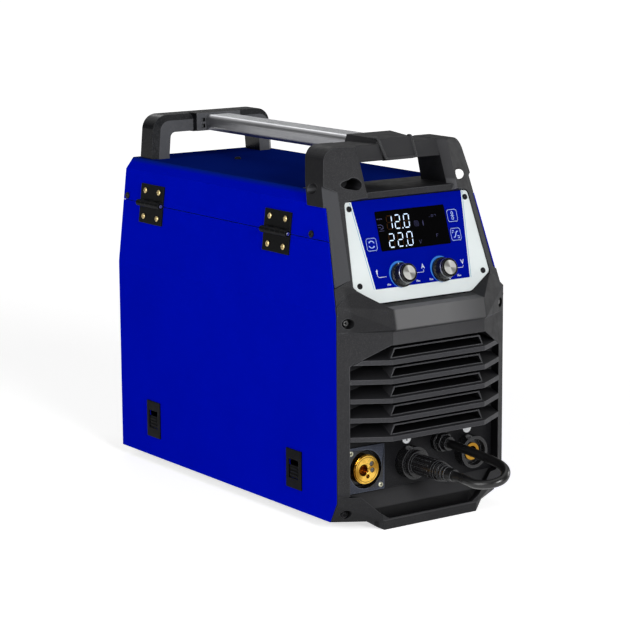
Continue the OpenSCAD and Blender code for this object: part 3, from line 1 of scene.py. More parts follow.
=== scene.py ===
"""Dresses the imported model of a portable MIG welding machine: finishes for every
part, the marks on its control panel, the polarity lead and the wound wire."""
import json
import math

import bmesh
import bpy
import numpy as np
from mathutils import Matrix, Vector


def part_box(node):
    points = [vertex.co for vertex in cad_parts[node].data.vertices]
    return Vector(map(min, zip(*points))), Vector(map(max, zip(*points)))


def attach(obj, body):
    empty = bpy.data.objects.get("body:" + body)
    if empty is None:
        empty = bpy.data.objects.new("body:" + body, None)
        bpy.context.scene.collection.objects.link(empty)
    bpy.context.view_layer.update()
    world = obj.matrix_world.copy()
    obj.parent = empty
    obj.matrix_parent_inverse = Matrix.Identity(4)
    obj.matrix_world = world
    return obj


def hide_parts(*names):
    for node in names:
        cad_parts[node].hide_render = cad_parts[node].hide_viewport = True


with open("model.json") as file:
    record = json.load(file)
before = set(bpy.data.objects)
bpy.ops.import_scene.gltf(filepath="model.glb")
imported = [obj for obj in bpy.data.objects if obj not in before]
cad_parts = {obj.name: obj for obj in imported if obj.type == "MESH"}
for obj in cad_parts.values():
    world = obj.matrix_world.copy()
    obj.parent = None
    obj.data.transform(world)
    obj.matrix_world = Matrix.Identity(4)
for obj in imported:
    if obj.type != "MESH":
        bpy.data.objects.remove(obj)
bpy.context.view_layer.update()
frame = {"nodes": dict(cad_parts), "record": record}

nodes = frame["nodes"]
MM = 0.001


def added(name, data):
    """New object in the scene."""
    made = bpy.data.objects.new(name, data)
    bpy.context.scene.collection.objects.link(made)
    return made


# ---------- camera
CAMERA_PLACE = (-1.63016, -2.32291, 0.74906)
CAMERA_TURN = (35.380, 10.835, -0.341)  # degrees to the right, down and about the view
CAMERA_LENS = 131.77


def aim_camera():
    """Long lens from the front left, a little above the handle."""
    yaw, pitch, roll = (math.radians(a) for a in CAMERA_TURN)
    look = Vector((math.sin(yaw) * math.cos(pitch), math.cos(yaw) * math.cos(pitch), -math.sin(pitch)))
    across = Vector((math.cos(yaw), -math.sin(yaw), 0.0))
    up = across.cross(look)
    level_x = across * math.cos(roll) + up * math.sin(roll)
    level_y = up * math.cos(roll) - across * math.sin(roll)
    lens = bpy.data.cameras.new("camera")
    lens.lens, lens.sensor_width = CAMERA_LENS, 36.0
    lens.clip_start, lens.clip_end = 0.1, 60.0
    lens.dof.use_dof = False
    view = added("camera", lens)
    turn = Matrix((level_x, level_y, -look)).transposed().to_4x4()
    view.matrix_world = Matrix.Translation(CAMERA_PLACE) @ turn
    bpy.context.scene.camera = view


aim_camera()


# ---------- mesh tools
def piece(name, points, faces, finish, body, crease=35.0):
    """Closed skin from points and faces: doubles are merged, faces turned outward,
    and edges sharper than the crease angle stay hard."""
    mesh = bpy.data.meshes.new(name)
    mesh.from_pydata(np.asarray(points, float).reshape(-1, 3).tolist(), [], faces)
    shell = bmesh.new()
    shell.from_mesh(mesh)
    bmesh.ops.remove_doubles(shell, verts=shell.verts, dist=1e-7)
    bmesh.ops.recalc_face_normals(shell, faces=shell.faces)
    shell.to_mesh(mesh)
    shell.free()
    mesh.shade_smooth()
    mesh.set_sharp_from_angle(angle=math.radians(crease))
    made = added(name, mesh)
    if finish:
        mesh.materials.append(finish)
    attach(made, body)
    return made


def skin(rows, columns, wrap_rows=False, wrap_columns=False):
    """Quads over a grid of rows by columns; a wrapped direction joins its last line
    to its first. Corner k of the cell (i, j) is row i or i+1, column j or j+1."""
    i = np.arange(rows if wrap_rows else rows - 1)[:, None]
    j = np.arange(columns if wrap_columns else columns - 1)[None, :]
    i2, j2 = (i + 1) % rows, (j + 1) % columns
    quads = np.stack([i * columns + j, i * columns + j2, i2 * columns + j2, i2 * columns + j], -1)
    return quads.reshape(-1, 4).tolist()


def unit(v):
    """v / |v| along the last direction of an array."""
    return v / np.maximum(np.linalg.norm(v, axis=-1, keepdims=True), 1e-12)


def curve(route, steps):
    """Catmull-Rom curve through the route: between points b and c with neighbours a
    and d it is b + t(c-a)/2 + t^2(a - 5b/2 + 2c - d/2) + t^3(3b - 3c + d - a)/2."""
    p = np.asarray(route, float)
    p = np.vstack([2 * p[0] - p[1], p, 2 * p[-1] - p[-2]])
    a, b, c, d = p[:-3, None], p[1:-2, None], p[2:-1, None], p[3:, None]
    t = (np.arange(steps) / steps)[None, :, None]
    line = b + t * (c - a) / 2 + t**2 * (a - 2.5 * b + 2 * c - d / 2)
    line = line + t**3 * (1.5 * b - 1.5 * c + d / 2 - a / 2)
    return np.vstack([line.reshape(-1, 3), p[-2]])


def tube(line, radius, sides):
    """Circle carried along a line that starts about level: point (i, k) is line[i] +
    radius (cos a_k side_i + sin a_k over_i), side and over square to the direction."""
    line = np.asarray(line, float)
    ahead = unit(np.gradient(line, axis=0))
    side = np.empty_like(line)
    keep = np.array([0.0, 0.0, 1.0])
    for i, d in enumerate(ahead):
        keep = keep - d * (keep @ d)
        keep /= np.linalg.norm(keep)
        side[i] = keep
    over = np.cross(ahead, side)
    angle = np.arange(sides) * 2 * np.pi / sides
    ring = np.cos(angle)[None, :, None] * side[:, None] + np.sin(angle)[None, :, None] * over[:, None]
    points = line[:, None] + ring * radius
    faces = skin(len(line), sides, wrap_columns=True)
    faces += [list(range(sides)), list(range((len(line) - 1) * sides, len(line) * sides))]
    return points.reshape(-1, 3), faces


def turned(profile, centre, axis, sides):
    """Profile of (radius, height) pairs turned round an axis: point (i, k) is centre +
    height_i axis + radius_i (cos a_k side + sin a_k over)."""
    profile = np.asarray(profile, float)
    axis = unit(np.asarray(axis, float))
    side = unit(np.cross(axis, [0.0, 0.31, 0.95] if abs(axis[0]) > 0.5 else [1.0, 0.0, 0.0]))
    over = np.cross(axis, side)
    angle = np.arange(sides) * 2 * np.pi / sides
    ring = np.cos(angle)[:, None] * side + np.sin(angle)[:, None] * over
    points = np.asarray(centre, float) + profile[:, 1, None, None] * axis + profile[:, 0, None, None] * ring
    return points.reshape(-1, 3), skin(len(profile), sides, wrap_columns=True)


class Plane:
    """A flat place on the machine: millimetres across, up and out become metres."""

    def __init__(self, origin, up, out):
        self.origin, self.up, self.out = (np.array(v, float) for v in (origin, up, out))

    def at(self, points):
        p = np.asarray(points, float)
        across = p[..., :1] * [1.0, 0.0, 0.0]
        return (self.origin + across + p[..., 1:2] * self.up + p[..., 2:] * self.out) * MM


TILT = math.radians(18.3)
PANEL = Plane((0, -249, 266), (0, math.sin(TILT), math.cos(TILT)), (0, -math.cos(TILT), math.sin(TILT)))
SOCKETS = Plane((0, -236, 0), (0, 0, 1), (0, -1, 0))

# Middle of the torch socket, of its flange's two screws, of the front's well screws and of
# the two dials: millimetres across and up, on the control panel for the dials
TORCH = (-79.5, 70.0)
FLANGE_SCREWS = ((-58.0, 48.5), (-101.0, 91.5))
WELL_SCREWS = ((-112.0, 247.0), (112.0, 247.0))
LEFT_DIAL, RIGHT_DIAL = (-30, 29), (30, 29)
TORCH_AXIS = (TORCH[0] * MM, 0, TORCH[1] * MM)


def stroke(path, width, base, height, closed=False):
    """Flat bar along a path: corners path +- side width/2 at the base and at base +
    height, where side is square to the path and lengthened where it turns."""
    p = np.asarray(path, float)
    step = np.roll(p, -1, 0) - p
    into, onward = np.roll(step, 1, 0), step.copy()
    if not closed:
        into[0], onward[-1] = step[0], step[-2]
    a, b = unit(into), unit(onward)
    mean = unit(a + b)
    side = np.stack([-mean[:, 1], mean[:, 0]], -1)
    mitre = 1 / np.maximum(np.sum(mean * a, -1), 0.45)
    reach = side * (np.broadcast_to(width, len(p)) / 2 * mitre)[:, None]
    low, high = np.full((len(p), 1), base), np.full((len(p), 1), base + height)
    around_bar = ((p + reach, low), (p + reach, high), (p - reach, high), (p - reach, low))
    corners = [np.hstack(pair) for pair in around_bar]
    faces = skin(len(p), 4, wrap_rows=closed, wrap_columns=True)
    if not closed:
        faces += [[0, 1, 2, 3], [4 * len(p) - 4 + k for k in range(4)]]
    return np.stack(corners, 1).reshape(-1, 3), faces


def arc(u, v, radius, start, end, steps=24):
    """Points u + r cos a, v + r sin a for angles from start to end, in degrees."""
    a = np.radians(np.linspace(start, end, steps))
    return np.stack([u + radius * np.cos(a), v + radius * np.sin(a)], -1)


def rounded(u, v, half_w, half_h, radius, steps=7):
    """Rectangle about (u, v) whose four corners are quarter circles, as a closed path."""
    in_w, in_h = half_w - radius, half_h - radius
    spots = [(1, 1, 0), (-1, 1, 90), (-1, -1, 180), (1, -1, 270)]
    return np.vstack([arc(u + sx * in_w, v + sy * in_h, radius, a, a + 90, steps) for sx, sy, a in spots])


def join(parts):
    """Several (points, faces) as one, with the face numbers moved on."""
    points, faces, count = [], [], 0
    for more, polys in parts:
        points.append(more)
        faces += [[k + count for k in poly] for poly in polys]
        count += len(more)
    return np.vstack(points), faces


def marks(name, parts, plane, finish, body):
    """Flat strokes laid on a plane as one piece."""
    points, faces = join(parts)
    return piece(name, plane.at(points), faces, finish, body)


# ---------- finishes
def srgb(*levels):
    """Colour levels from 0 to 255 as the linear values a shader takes."""
    c = np.array(levels, float) / 255
    return tuple(np.where(c <= 0.04045, c / 12.92, ((c + 0.055) / 1.055) ** 2.4)) + (1.0,)


def shade(colour, share):
    """A linear colour with its three levels times a share."""
    return tuple(c * share for c in colour[:3]) + (1.0,)


class Finish:
    """A Principled shader and the nodes that vary its colour, roughness and relief
    over Object coordinates."""

    def __init__(self, name, colour, roughness, metallic=0.0, level=0.5, coat=0.0):
        self.made = bpy.data.materials.new(name)
        self.made.use_nodes = True
        self.tree = self.made.node_tree
        self.tree.nodes.clear()
        self.shader = self.node("ShaderNodeBsdfPrincipled")
        out = self.node("ShaderNodeOutputMaterial")
        self.out = out.inputs["Surface"]
        self.link(self.shader.outputs[0], self.out)
        for socket, value in (("Base Color", colour), ("Roughness", roughness), ("Metallic", metallic),
                              ("Specular IOR Level", level), ("Coat Weight", coat), ("Coat Roughness", 0.1)):
            self.put(socket, value)
        self.colour, self.normal, self.plain = None, None, tuple(float(c) for c in colour)
        self.place = self.node("ShaderNodeTexCoord").outputs["Object"]

    def node(self, kind, **settings):
        made = self.tree.nodes.new(kind)
        for key, value in settings.items():
            setattr(made, key, value)
        return made

    def link(self, a, b):
        self.tree.links.new(a, b)

    def put(self, socket, value):
        self.shader.inputs[socket].default_value = value

    def spot(self, centre=(0, 0, 0), size=(1, 1, 1), turn=(0, 0, 0)):
        """Object coordinates moved to a centre and measured in units of size."""
        m = self.node("ShaderNodeMapping", vector_type="TEXTURE")
        m.inputs["Location"].default_value = centre
        m.inputs["Rotation"].default_value = turn
        m.inputs["Scale"].default_value = size
        self.link(self.place, m.inputs["Vector"])
        return m.outputs[0]

    def noise(self, size, detail, rough=0.55, stretch=(1, 1, 1), warp=0.0):
        """Cloudy pattern whose blotches are about size metres across."""
        n = self.node("ShaderNodeTexNoise")
        n.inputs["Scale"].default_value = 1.0
        n.inputs["Detail"].default_value = detail
        n.inputs["Roughness"].default_value = rough
        n.inputs["Distortion"].default_value = warp
        self.link(self.spot(size=tuple(size * s for s in stretch)), n.inputs["Vector"])
        return n.outputs["Fac"]

    def cells(self, size, stretch=(1, 1, 1)):
        """Cell pattern with cells about size metres across."""
        n = self.node("ShaderNodeTexVoronoi")
        n.inputs["Scale"].default_value = 1.0
        self.link(self.spot(size=tuple(size * s for s in stretch)), n.inputs["Vector"])
        return n.outputs["Distance"]

    def rings(self, spacing, centre, axis):
        """Circles about an axis through the centre, as a tool leaves on a turned face."""
        n = self.node("ShaderNodeTexWave", wave_type="RINGS", rings_direction=axis)
        n.inputs["Scale"].default_value = 1.0
        n.inputs["Distortion"].default_value = 0.6
        n.inputs["Detail"].default_value = 2.0
        size = spacing / 0.314  # the texture's own rings are 0.314 apart
        self.link(self.spot(centre=centre, size=(size,) * 3), n.inputs["Vector"])
        return n.outputs["Fac"]

    def span(self, value, low, high, to_low=0.0, to_high=1.0):
        """Stretches low..high of a pattern onto to_low..to_high."""
        n = self.node("ShaderNodeMapRange")
        self.link(value, n.inputs["Value"])
        for key, number in (("From Min", low), ("From Max", high), ("To Min", to_low), ("To Max", to_high)):
            n.inputs[key].default_value = number
        return n.outputs[0]

    def math(self, kind, *values, node="ShaderNodeMath", result="Value"):
        """A sum on values that are plain or come out of other nodes."""
        n = self.node(node, operation=kind)
        for socket, value in zip(n.inputs, values):
            if isinstance(value, bpy.types.NodeSocket):
                self.link(value, socket)
            else:
                socket.default_value = value
        return n.outputs[result]

    def vector(self, kind, *values, result="Value"):
        """The same on vectors; most results are numbers."""
        return self.math(kind, *values, node="ShaderNodeVectorMath", result=result)

    def tint(self, share, colour):
        """Lays another colour over the base where share is high."""
        n = self.node("ShaderNodeMix", data_type="RGBA")
        self.link(share, n.inputs[0])
        if self.colour is None:
            n.inputs[6].default_value = self.plain
        else:
            self.link(self.colour, n.inputs[6])
        n.inputs[7].default_value = colour
        self.colour = n.outputs[2]
        self.link(self.colour, self.shader.inputs["Base Color"])
        return self

    def clouds(self, size, detail, low, high, amount, colour, **more):
        """Another colour in the blotches of a noise, between its levels low and high."""
        return self.tint(self.span(self.noise(size, detail, **more), low, high, 0.0, amount), colour)

    def worn(self, share, low, high):
        """Roughness follows a pattern from low to high."""
        self.link(self.span(share, 0.3, 0.7, low, high), self.shader.inputs["Roughness"])
        return self

    def edges(self, radius, colour=None, amount=0.5):
        """Rounds the look of every edge, and where a colour is given paints a lighter highlight along it."""
        b = self.node("ShaderNodeBevel", samples=6)
        b.inputs["Radius"].default_value = radius
        self.normal = b.outputs[0]
        self.link(self.normal, self.shader.inputs["Normal"])
        # painted highlight: a lighter colour along the edges
        if colour:
            face = self.node("ShaderNodeNewGeometry").outputs["Normal"]
            even = self.vector("DOT_PRODUCT", self.normal, face)
            self.tint(self.span(even, 0.995, 0.86, 0.0, amount), colour)
        return self

    def hollows(self, reach, amount, colour):
        """Painted shade: darkens the places that lie deep between walls, as far as reach metres."""
        a = self.node("ShaderNodeAmbientOcclusion", samples=6)
        a.inputs["Distance"].default_value = reach
        return self.tint(self.span(a.outputs["AO"], 0.15, 0.85, amount, 0.0), colour)

    def facing(self, way, low, high, amount, colour):
        """Painted light and shade: another tone on the faces that look along a direction;
        its share grows as the face's normal times the direction goes from low to high."""
        face = self.node("ShaderNodeNewGeometry").outputs["True Normal"]
        return self.tint(self.span(self.vector("DOT_PRODUCT", face, way), low, high, 0.0, amount), colour)

    def within(self, low, high, soft, amount, colour):
        """Painted light and shade: another tone inside a box in metres, whose share falls
        off over the soft distance outside each of its sides."""
        centre = tuple((a + b) / 2 for a, b in zip(low, high))
        half = tuple((b - a) / 2 for a, b in zip(low, high))
        axes = self.node("ShaderNodeSeparateXYZ")
        self.link(self.spot(centre=centre), axes.inputs[0])
        share = None
        for axis, reach in zip(axes.outputs, half):
            part = self.span(self.math("ABSOLUTE", axis), reach, reach + soft, 1.0, 0.0)
            share = part if share is None else self.math("MULTIPLY", share, part)
        return self.tint(self.math("MULTIPLY", share, amount), colour)

    def ring(self, centre, flat, radius, width, amount, colour):
        """Another tone on a circle about a centre; flat is the axis it is seen along."""
        size = tuple(1e6 if k == flat else 1.0 for k in range(3))
        away = self.vector("LENGTH", self.spot(centre=centre, size=size))
        gap = self.math("ABSOLUTE", self.math("SUBTRACT", away, radius))
        return self.tint(self.span(gap, width * 0.3, width * 0.7, amount, 0.0), colour)

    def wedges(self, centre, turn, phase, amount, colour):
        """Painted shade: two darker wedges across a faced disc, where its tool circles catch
        less light; their share is the sine of twice the angle about the disc's axis, cut at zero."""
        g = self.node("ShaderNodeTexGradient", gradient_type="RADIAL")
        self.link(self.spot(centre=centre, turn=turn), g.inputs["Vector"])
        angle = self.math("ADD", self.math("MULTIPLY", g.outputs["Fac"], 4 * math.pi), phase)
        return self.tint(self.span(self.math("SINE", angle), 0.0, 0.9, 0.0, amount), colour)

    def relief(self, height, depth):
        """Bump of the given depth in metres, laid over what bumps are there."""
        b = self.node("ShaderNodeBump")
        b.inputs["Strength"].default_value = 1.0
        b.inputs["Distance"].default_value = depth
        self.link(height, b.inputs["Height"])
        if self.normal is not None:
            self.link(self.normal, b.inputs["Normal"])
        self.normal = b.outputs[0]
        self.link(self.normal, self.shader.inputs["Normal"])
        return self


def coated_sheet(name, colour, roughness, peel, edge, dark, level=0.5):
    """Powder-coated steel: orange peel, faint clouds of tone and painted highlights on the folds."""
    f = Finish(name, colour, roughness, level=level)
    f.edges(0.0009, edge, 0.55)
    f.clouds(0.09, 4.0, 0.35, 0.7, 0.22, dark)
    f.clouds(0.0016, 2.0, 0.55, 0.8, 0.10, edge)
    f.worn(f.noise(0.03, 4.0), roughness * 0.86, roughness * 1.16)
    f.relief(f.noise(0.0013, 2.0, 0.45), peel)
    return f


def moulded(name, colour, roughness, grain, depth, edge, amount=0.5, level=0.5, fold=0.0008):
    """Moulded plastic: spark-etched grain, slight flow clouds and painted highlights on the edges."""
    f = Finish(name, colour, roughness, level=level)
    f.edges(fold, edge, amount)
    f.clouds(0.05, 4.0, 0.35, 0.7, 0.35, shade(colour, 0.72), warp=0.6)
    f.clouds(grain, 1.5, 0.5, 0.75, 0.22, edge)
    f.worn(f.noise(0.012, 5.0), roughness * 0.88, min(1.0, roughness * 1.14))
    f.relief(f.noise(grain, 2.0, 0.6), depth)
    return f


def metal(name, colour, roughness, dark, size=0.0015, stretch=(1, 1, 1), depth=4e-6, edge=None):
    """Bare metal with drawn or cast marks, stained a little darker in patches, with painted highlights on the
    edges where an edge colour is given.
    """
    f = Finish(name, colour, roughness, metallic=1.0)
    f.edges(0.0004, edge, 0.5)
    marks_of_tool = f.noise(size, 3.0, 0.6, stretch=stretch)
    f.clouds(0.011, 4.0, 0.45, 0.75, 0.45, dark)
    f.tint(f.span(marks_of_tool, 0.5, 0.8, 0.0, 0.35), dark)
    f.worn(marks_of_tool, roughness * 0.75, min(1.0, roughness * 1.35))
    f.relief(marks_of_tool, depth)
    return f


def turned_metal(name, colour, dark, roughness, centre, axis, spacing=0.0004):
    """Metal faced on a lathe: fine circles about its axis."""
    f = Finish(name, colour, roughness, metallic=1.0)
    f.edges(0.0005, None)
    circles = f.rings(spacing, centre, axis)
    f.clouds(0.006, 4.0, 0.4, 0.75, 0.5, dark)
    f.tint(f.span(circles, 0.2, 0.9, 0.0, 0.18), dark)
    f.worn(circles, roughness * 0.8, roughness * 1.3)
    f.relief(circles, 6e-6)
    return f


def spun_cap(name, centre):
    """Aluminium cap with a spun face: its gloss runs round the knob's axis, since the
    tangent is the axis crossed with the way out from the centre."""
    f = Finish(name, (0.84, 0.84, 0.81, 1), 0.34, metallic=0.5)
    f.put("Anisotropic", 0.6)
    f.edges(0.0004, None)
    way = f.vector("CROSS_PRODUCT", f.spot(centre=centre), tuple(PANEL.out), result="Vector")
    f.link(f.vector("NORMALIZE", way, result="Vector"), f.shader.inputs["Tangent"])
    # painted shade in two darker wedges across the spun face
    f.wedges(centre, (math.radians(90) - TILT, 0, 0), math.radians(180), 0.9, (0.22, 0.22, 0.20, 1))
    f.clouds(0.0011, 2.0, 0.5, 0.8, 0.2, (0.40, 0.40, 0.39, 1))
    f.worn(f.noise(0.004, 3.0), 0.28, 0.40)
    return f


def printed(name, colour, glow=0.0, speck=0.12, level=0.2):
    """Printed ink or a lit display segment, with a trace of screen grain."""
    f = Finish(name, colour, 0.42, level=level)
    f.clouds(0.0005, 2.0, 0.5, 0.8, speck, shade(colour, 0.7))
    f.relief(f.noise(0.0004, 2.0), 3e-6)
    if glow:
        f.put("Emission Color", colour)
        f.put("Emission Strength", glow)
    return f


# Powder coats and enamels by slot: name, colour, roughness, depth of the orange peel in
# metres, colour of the painted highlights on the folds, colour of the clouds, and gloss where it differs
COATS = {
    "black_paint": ("black_powder_coat", (27, 28, 31), 0.5, 1.2e-5, (78, 80, 84), (16, 17, 19)),
    "dark_paint": ("dark_powder_coat", (42, 44, 48), 0.52, 1.6e-5, (88, 90, 95), (30, 31, 34)),
    "hinge_paint": ("black_hinge_coat", (9, 10, 11), 0.42, 1.2e-5, (62, 64, 68), (7, 8, 9), 0.05),
    "motor_paint": ("motor_enamel", (36, 36, 40), 0.4, 1.4e-5, (86, 88, 92), (24, 24, 27)),
    "white_plate": ("white_enamel", (233, 240, 240), 0.36, 5e-6, (244, 248, 248), (206, 216, 218)),
}

# Plastics and rubbers by slot: name, colour, roughness, size and depth of the grain in
# metres, colour of the painted edge highlights, and where they differ strength of these highlights, gloss,
# radius
PLASTICS = {
    "rib_plastic": ("rib_dark_plastic", (50, 50, 52), 0.45, 0.0009, 1.2e-5, (110, 111, 114), 0.5, 0.3),
    "arch_plastic": ("gloss_dark_plastic", (24, 25, 27), 0.26, 0.0012, 5e-6,
        (110, 112, 116), 0.6, 0.16),
    "black_plastic": ("satin_black_plastic", (12, 12, 13), 0.24, 0.0008, 3e-6,
        (112, 113, 117), 0.8, 0.4, 0.0006),
    "latch_plastic": ("matt_black_plastic", (5, 5, 6), 0.5, 0.0008, 6e-6, (40, 41, 46), 0.5, 0.05),
    "knob_plastic": ("knob_black_plastic", (13, 13, 14), 0.25, 0.0007, 4e-6, (84, 85, 88), 0.55, 0.35),
    "fan_plastic": ("fan_grey_plastic", (38, 39, 43), 0.42, 0.0008, 6e-6, (80, 81, 84), 0.4),
    "arm_plastic": ("arm_grey_plastic", (46, 48, 52), 0.44, 0.0008, 8e-6, (92, 94, 98), 0.4),
    "spool_plastic": ("spool_black_plastic", (28, 30, 34), 0.40, 0.0009, 6e-6, (70, 72, 76), 0.4),
    "flange_plastic": ("flange_grey_blue_plastic", (50, 54, 66), 0.48, 0.0008, 1.0e-5,
        (130, 138, 156), 0.8, 0.25, 0.0014),
    "black_rubber": ("satin_black_jacket", (11, 11, 12), 0.26, 0.0011, 4e-6, (74, 75, 78), 0.5),
    "boot_rubber": ("ribbed_boot_rubber", (10, 10, 11), 0.24, 0.0011, 4e-6, (92, 94, 98), 0.7, 0.55),
    "red_switch": ("red_switch_plastic", (176, 18, 16), 0.22, 0.001, 3e-6, (226, 70, 60), 0.4),
}

# Bare metals by slot: name, linear colour, roughness, linear colour of the stains, size and
# depth of the tool marks in metres
METALS = {
    "cast_aluminium": ("cast_aluminium", (0.55, 0.56, 0.58, 1), 0.48, (0.38, 0.39, 0.41, 1), 0.0011, 2.2e-5),
    "bright_steel": ("bright_zinc_steel", (0.66, 0.67, 0.68, 1), 0.28, (0.48, 0.49, 0.50, 1), 0.0008, 4e-6),
    "pin_steel": ("dull_pin_steel", (0.30, 0.30, 0.31, 1), 0.4, (0.14, 0.14, 0.15, 1), 0.0006, 4e-6),
    "coppered_wire": ("coppered_wire", (0.72, 0.36, 0.18, 1), 0.26, (0.50, 0.23, 0.10, 1), 0.0009, 3e-6),
}


def blue_paint():
    """Blue powder coat of the case, with painted shade that makes the level top darker."""
    f = coated_sheet("blue_powder_coat", srgb(0, 14, 186), 0.46, 2.4e-5, srgb(24, 48, 214), srgb(0, 9, 160),
                     level=0.0)
    # painted shade: the level top, above 384 mm, turns dark navy
    height = f.node("ShaderNodeSeparateXYZ")
    f.link(f.place, height.inputs[0])
    return f.tint(f.span(height.outputs["Z"], 0.384, 0.3895, 0.0, 0.8), srgb(8, 34, 96))


def grey_sheet():
    """Galvanised steel with its pale spangle."""
    f = metal("galvanised_sheet", (0.44, 0.45, 0.46, 1), 0.42, (0.30, 0.31, 0.33, 1), 0.004, depth=3e-6)
    return f.tint(f.span(f.cells(0.009), 0.1, 0.8, 0.0, 0.35), (0.60, 0.61, 0.62, 1))


def dark_plastic():
    """Plastic of the front moulding, with painted light and shade: every group of facets
    and every hollow of the front has its own lighter or darker tone, laid over the one before."""
    f = moulded("etched_dark_plastic", srgb(42, 42, 44), 0.55, 0.0009, 2.0e-5, srgb(104, 105, 108), 0.75,
                level=0.15, fold=0.0013)
    # Painted light on the nose, left facets and left bevel; painted shade on level tops, left walls, right
    # facets, beside the nose, bumper, hood, finger slot and apron top
    f.facing((0.0, -0.95, 0.31), 0.925, 0.965, 0.75, srgb(80, 80, 82))  # facets of the nose
    f.facing((0.0, 0.0, 1.0), 0.6, 0.9, 0.93, srgb(14, 14, 16))  # level tops
    f.facing((-1.0, 0.0, 0.0), 0.72, 0.95, 0.85, srgb(12, 12, 15))  # left walls
    f.facing((-0.72, -0.62, 0.3), 0.95, 0.985, 0.8, srgb(74, 75, 78))  # left facets
    f.facing((0.6, -0.75, 0.25), 0.80, 0.95, 0.6, srgb(16, 16, 18))  # right facets
    f.facing((-0.894, -0.447, 0.0), 0.97, 0.99, 0.8, srgb(104, 104, 107))  # left bevel
    f.within((-0.065, -0.29, 0.239), (0.065, -0.262, 0.264), 0.001, 0.8, srgb(108, 108, 109))  # nose
    f.within((0.06, -0.3, 0.236), (0.13, -0.2, 0.27), 0.05, 0.5, srgb(34, 34, 36))  # right of the nose
    f.within((-0.108, -0.29, 0.238), (-0.067, -0.2, 0.285), 0.004, 0.5, srgb(16, 16, 18))  # left of the nose
    f.within((-0.125, -0.3, 0.0135), (0.125, -0.2, 0.044), 0.006, 0.45, srgb(16, 16, 18))  # bumper
    f.within((-0.066, -0.25, 0.397), (0.066, -0.14, 0.46), 0.003, 0.62, srgb(34, 34, 36))  # hood
    f.within((-0.078, -0.256, 0.0), (0.078, -0.2485, 0.031), 0.001, 0.93, srgb(6, 6, 7))  # finger slot
    f.within((-0.075, -0.262, 0.05), (0.062, -0.23, 0.062), 0.014, 0.7, srgb(14, 14, 16))  # top of the apron
    # painted shade deep in the hollows
    return f.hollows(0.05, 0.8, srgb(10, 10, 12))


def grille_plastic():
    """Plastic of the air slats, with painted shade on their sloping tops and deep between them."""
    f = moulded("etched_grille_plastic", srgb(54, 54, 57), 0.55, 0.0009, 2.0e-5, srgb(118, 119, 122), 0.75,
                level=0.16, fold=0.0012)
    # painted shade on the sloping tops, then in the hollows
    f.facing((0.0, 0.0, 1.0), 0.3, 0.6, 0.7, srgb(22, 22, 24))
    return f.hollows(0.03, 0.92, srgb(7, 7, 9))


def recess_plastic():
    """Plastic of the plate that carries the sockets, with painted shade that makes its corners black."""
    f = moulded("smooth_recess_plastic", srgb(12, 12, 16), 0.5, 0.0009, 1.0e-5, srgb(84, 85, 88), 0.6,
                level=0.16)
    return f.hollows(0.05, 0.85, srgb(8, 8, 10))


def blue_film():
    """Printed film of the control panel, with fine screen grain and faint clouds."""
    f = Finish("blue_film", srgb(0, 15, 148), 0.24, level=0.01)
    f.clouds(0.0006, 2.0, 0.5, 0.8, 0.12, srgb(8, 20, 178))
    f.clouds(0.05, 3.0, 0.4, 0.7, 0.2, srgb(1, 6, 132))
    f.worn(f.noise(0.008, 4.0), 0.26, 0.36)
    return f.relief(f.noise(0.0005, 2.0), 4e-6)


def blue_key():
    """Film over the three keys, with painted highlights that make the edges a little lighter."""
    f = Finish("blue_key_film", srgb(0, 16, 148), 0.28, level=0.03)
    f.edges(0.0005, srgb(40, 60, 215), 0.5)
    f.clouds(0.0006, 2.0, 0.5, 0.8, 0.12, srgb(18, 30, 196))
    f.worn(f.noise(0.006, 4.0), 0.25, 0.36)
    return f.relief(f.noise(0.0005, 2.0), 4e-6)


def lcd_window():
    """Near black pane of the display with a trace of smears."""
    f = Finish("display_window", srgb(3, 3, 4), 0.10, level=0.12)
    f.clouds(0.012, 3.0, 0.45, 0.75, 0.3, srgb(6, 6, 8))
    return f.worn(f.noise(0.005, 5.0), 0.06, 0.13)


def tube_aluminium():
    """Brushed aluminium of the handle, drawn along y, with painted shade on its left side and painted
    highlights on its edges.
    """
    f = metal("brushed_tube", (0.66, 0.67, 0.69, 1), 0.34, (0.50, 0.51, 0.53, 1), 0.0006, (1, 160, 1), 5e-6,
              (0.86, 0.86, 0.87, 1))
    f.clouds(0.0018, 2.0, 0.5, 0.75, 0.3, (0.84, 0.85, 0.87, 1), stretch=(1, 90, 1))
    # painted shade on the left side
    return f.facing((-1.0, 0.0, 0.0), 0.25, 0.85, 0.7, (0.22, 0.22, 0.23, 1))


def yellow_screw():
    """Yellow plated steel with its rainbow stains."""
    f = metal("yellow_zinc_steel", (0.60, 0.47, 0.22, 1), 0.30, (0.42, 0.34, 0.14, 1), 0.0006, depth=4e-6,
              edge=(0.85, 0.76, 0.52, 1))
    return f.clouds(0.0025, 3.0, 0.5, 0.7, 0.4, (0.62, 0.42, 0.30, 1))


def pale_screw():
    """Pale plated screws of the torch socket's flange, with a dark drive in each."""
    f = metal("pale_zinc_steel", (0.84, 0.83, 0.64, 1), 0.42, (0.58, 0.57, 0.42, 1), 0.0006, depth=4e-6,
              edge=(0.92, 0.91, 0.78, 1))
    for x, z in ((-58.0, 48.5), (-101.5, 91.5)):
        f.ring((x * MM, 0, z * MM), 1, 0.0008, 0.0016, 0.85, (0.05, 0.05, 0.04, 1))
    return f


def well_screw():
    """Dark screws in the wells of the front, each with a painted highlight: a bright ring on its head."""
    f = metal("well_screw_steel", srgb(30, 30, 32), 0.42, srgb(18, 18, 20), 0.0006, depth=6e-6,
              edge=srgb(120, 120, 122))
    for x, z in WELL_SCREWS:
        # painted highlight ring on each head
        f.ring((x * MM, 0, z * MM), 1, 0.0023, 0.0014, 0.8, srgb(150, 150, 150))
    return f


def black_screw():
    """Black oxide screws."""
    return metal("black_oxide_steel", srgb(38, 38, 40), 0.42, srgb(22, 22, 24), 0.0006, depth=6e-6,
                 edge=srgb(100, 100, 104))


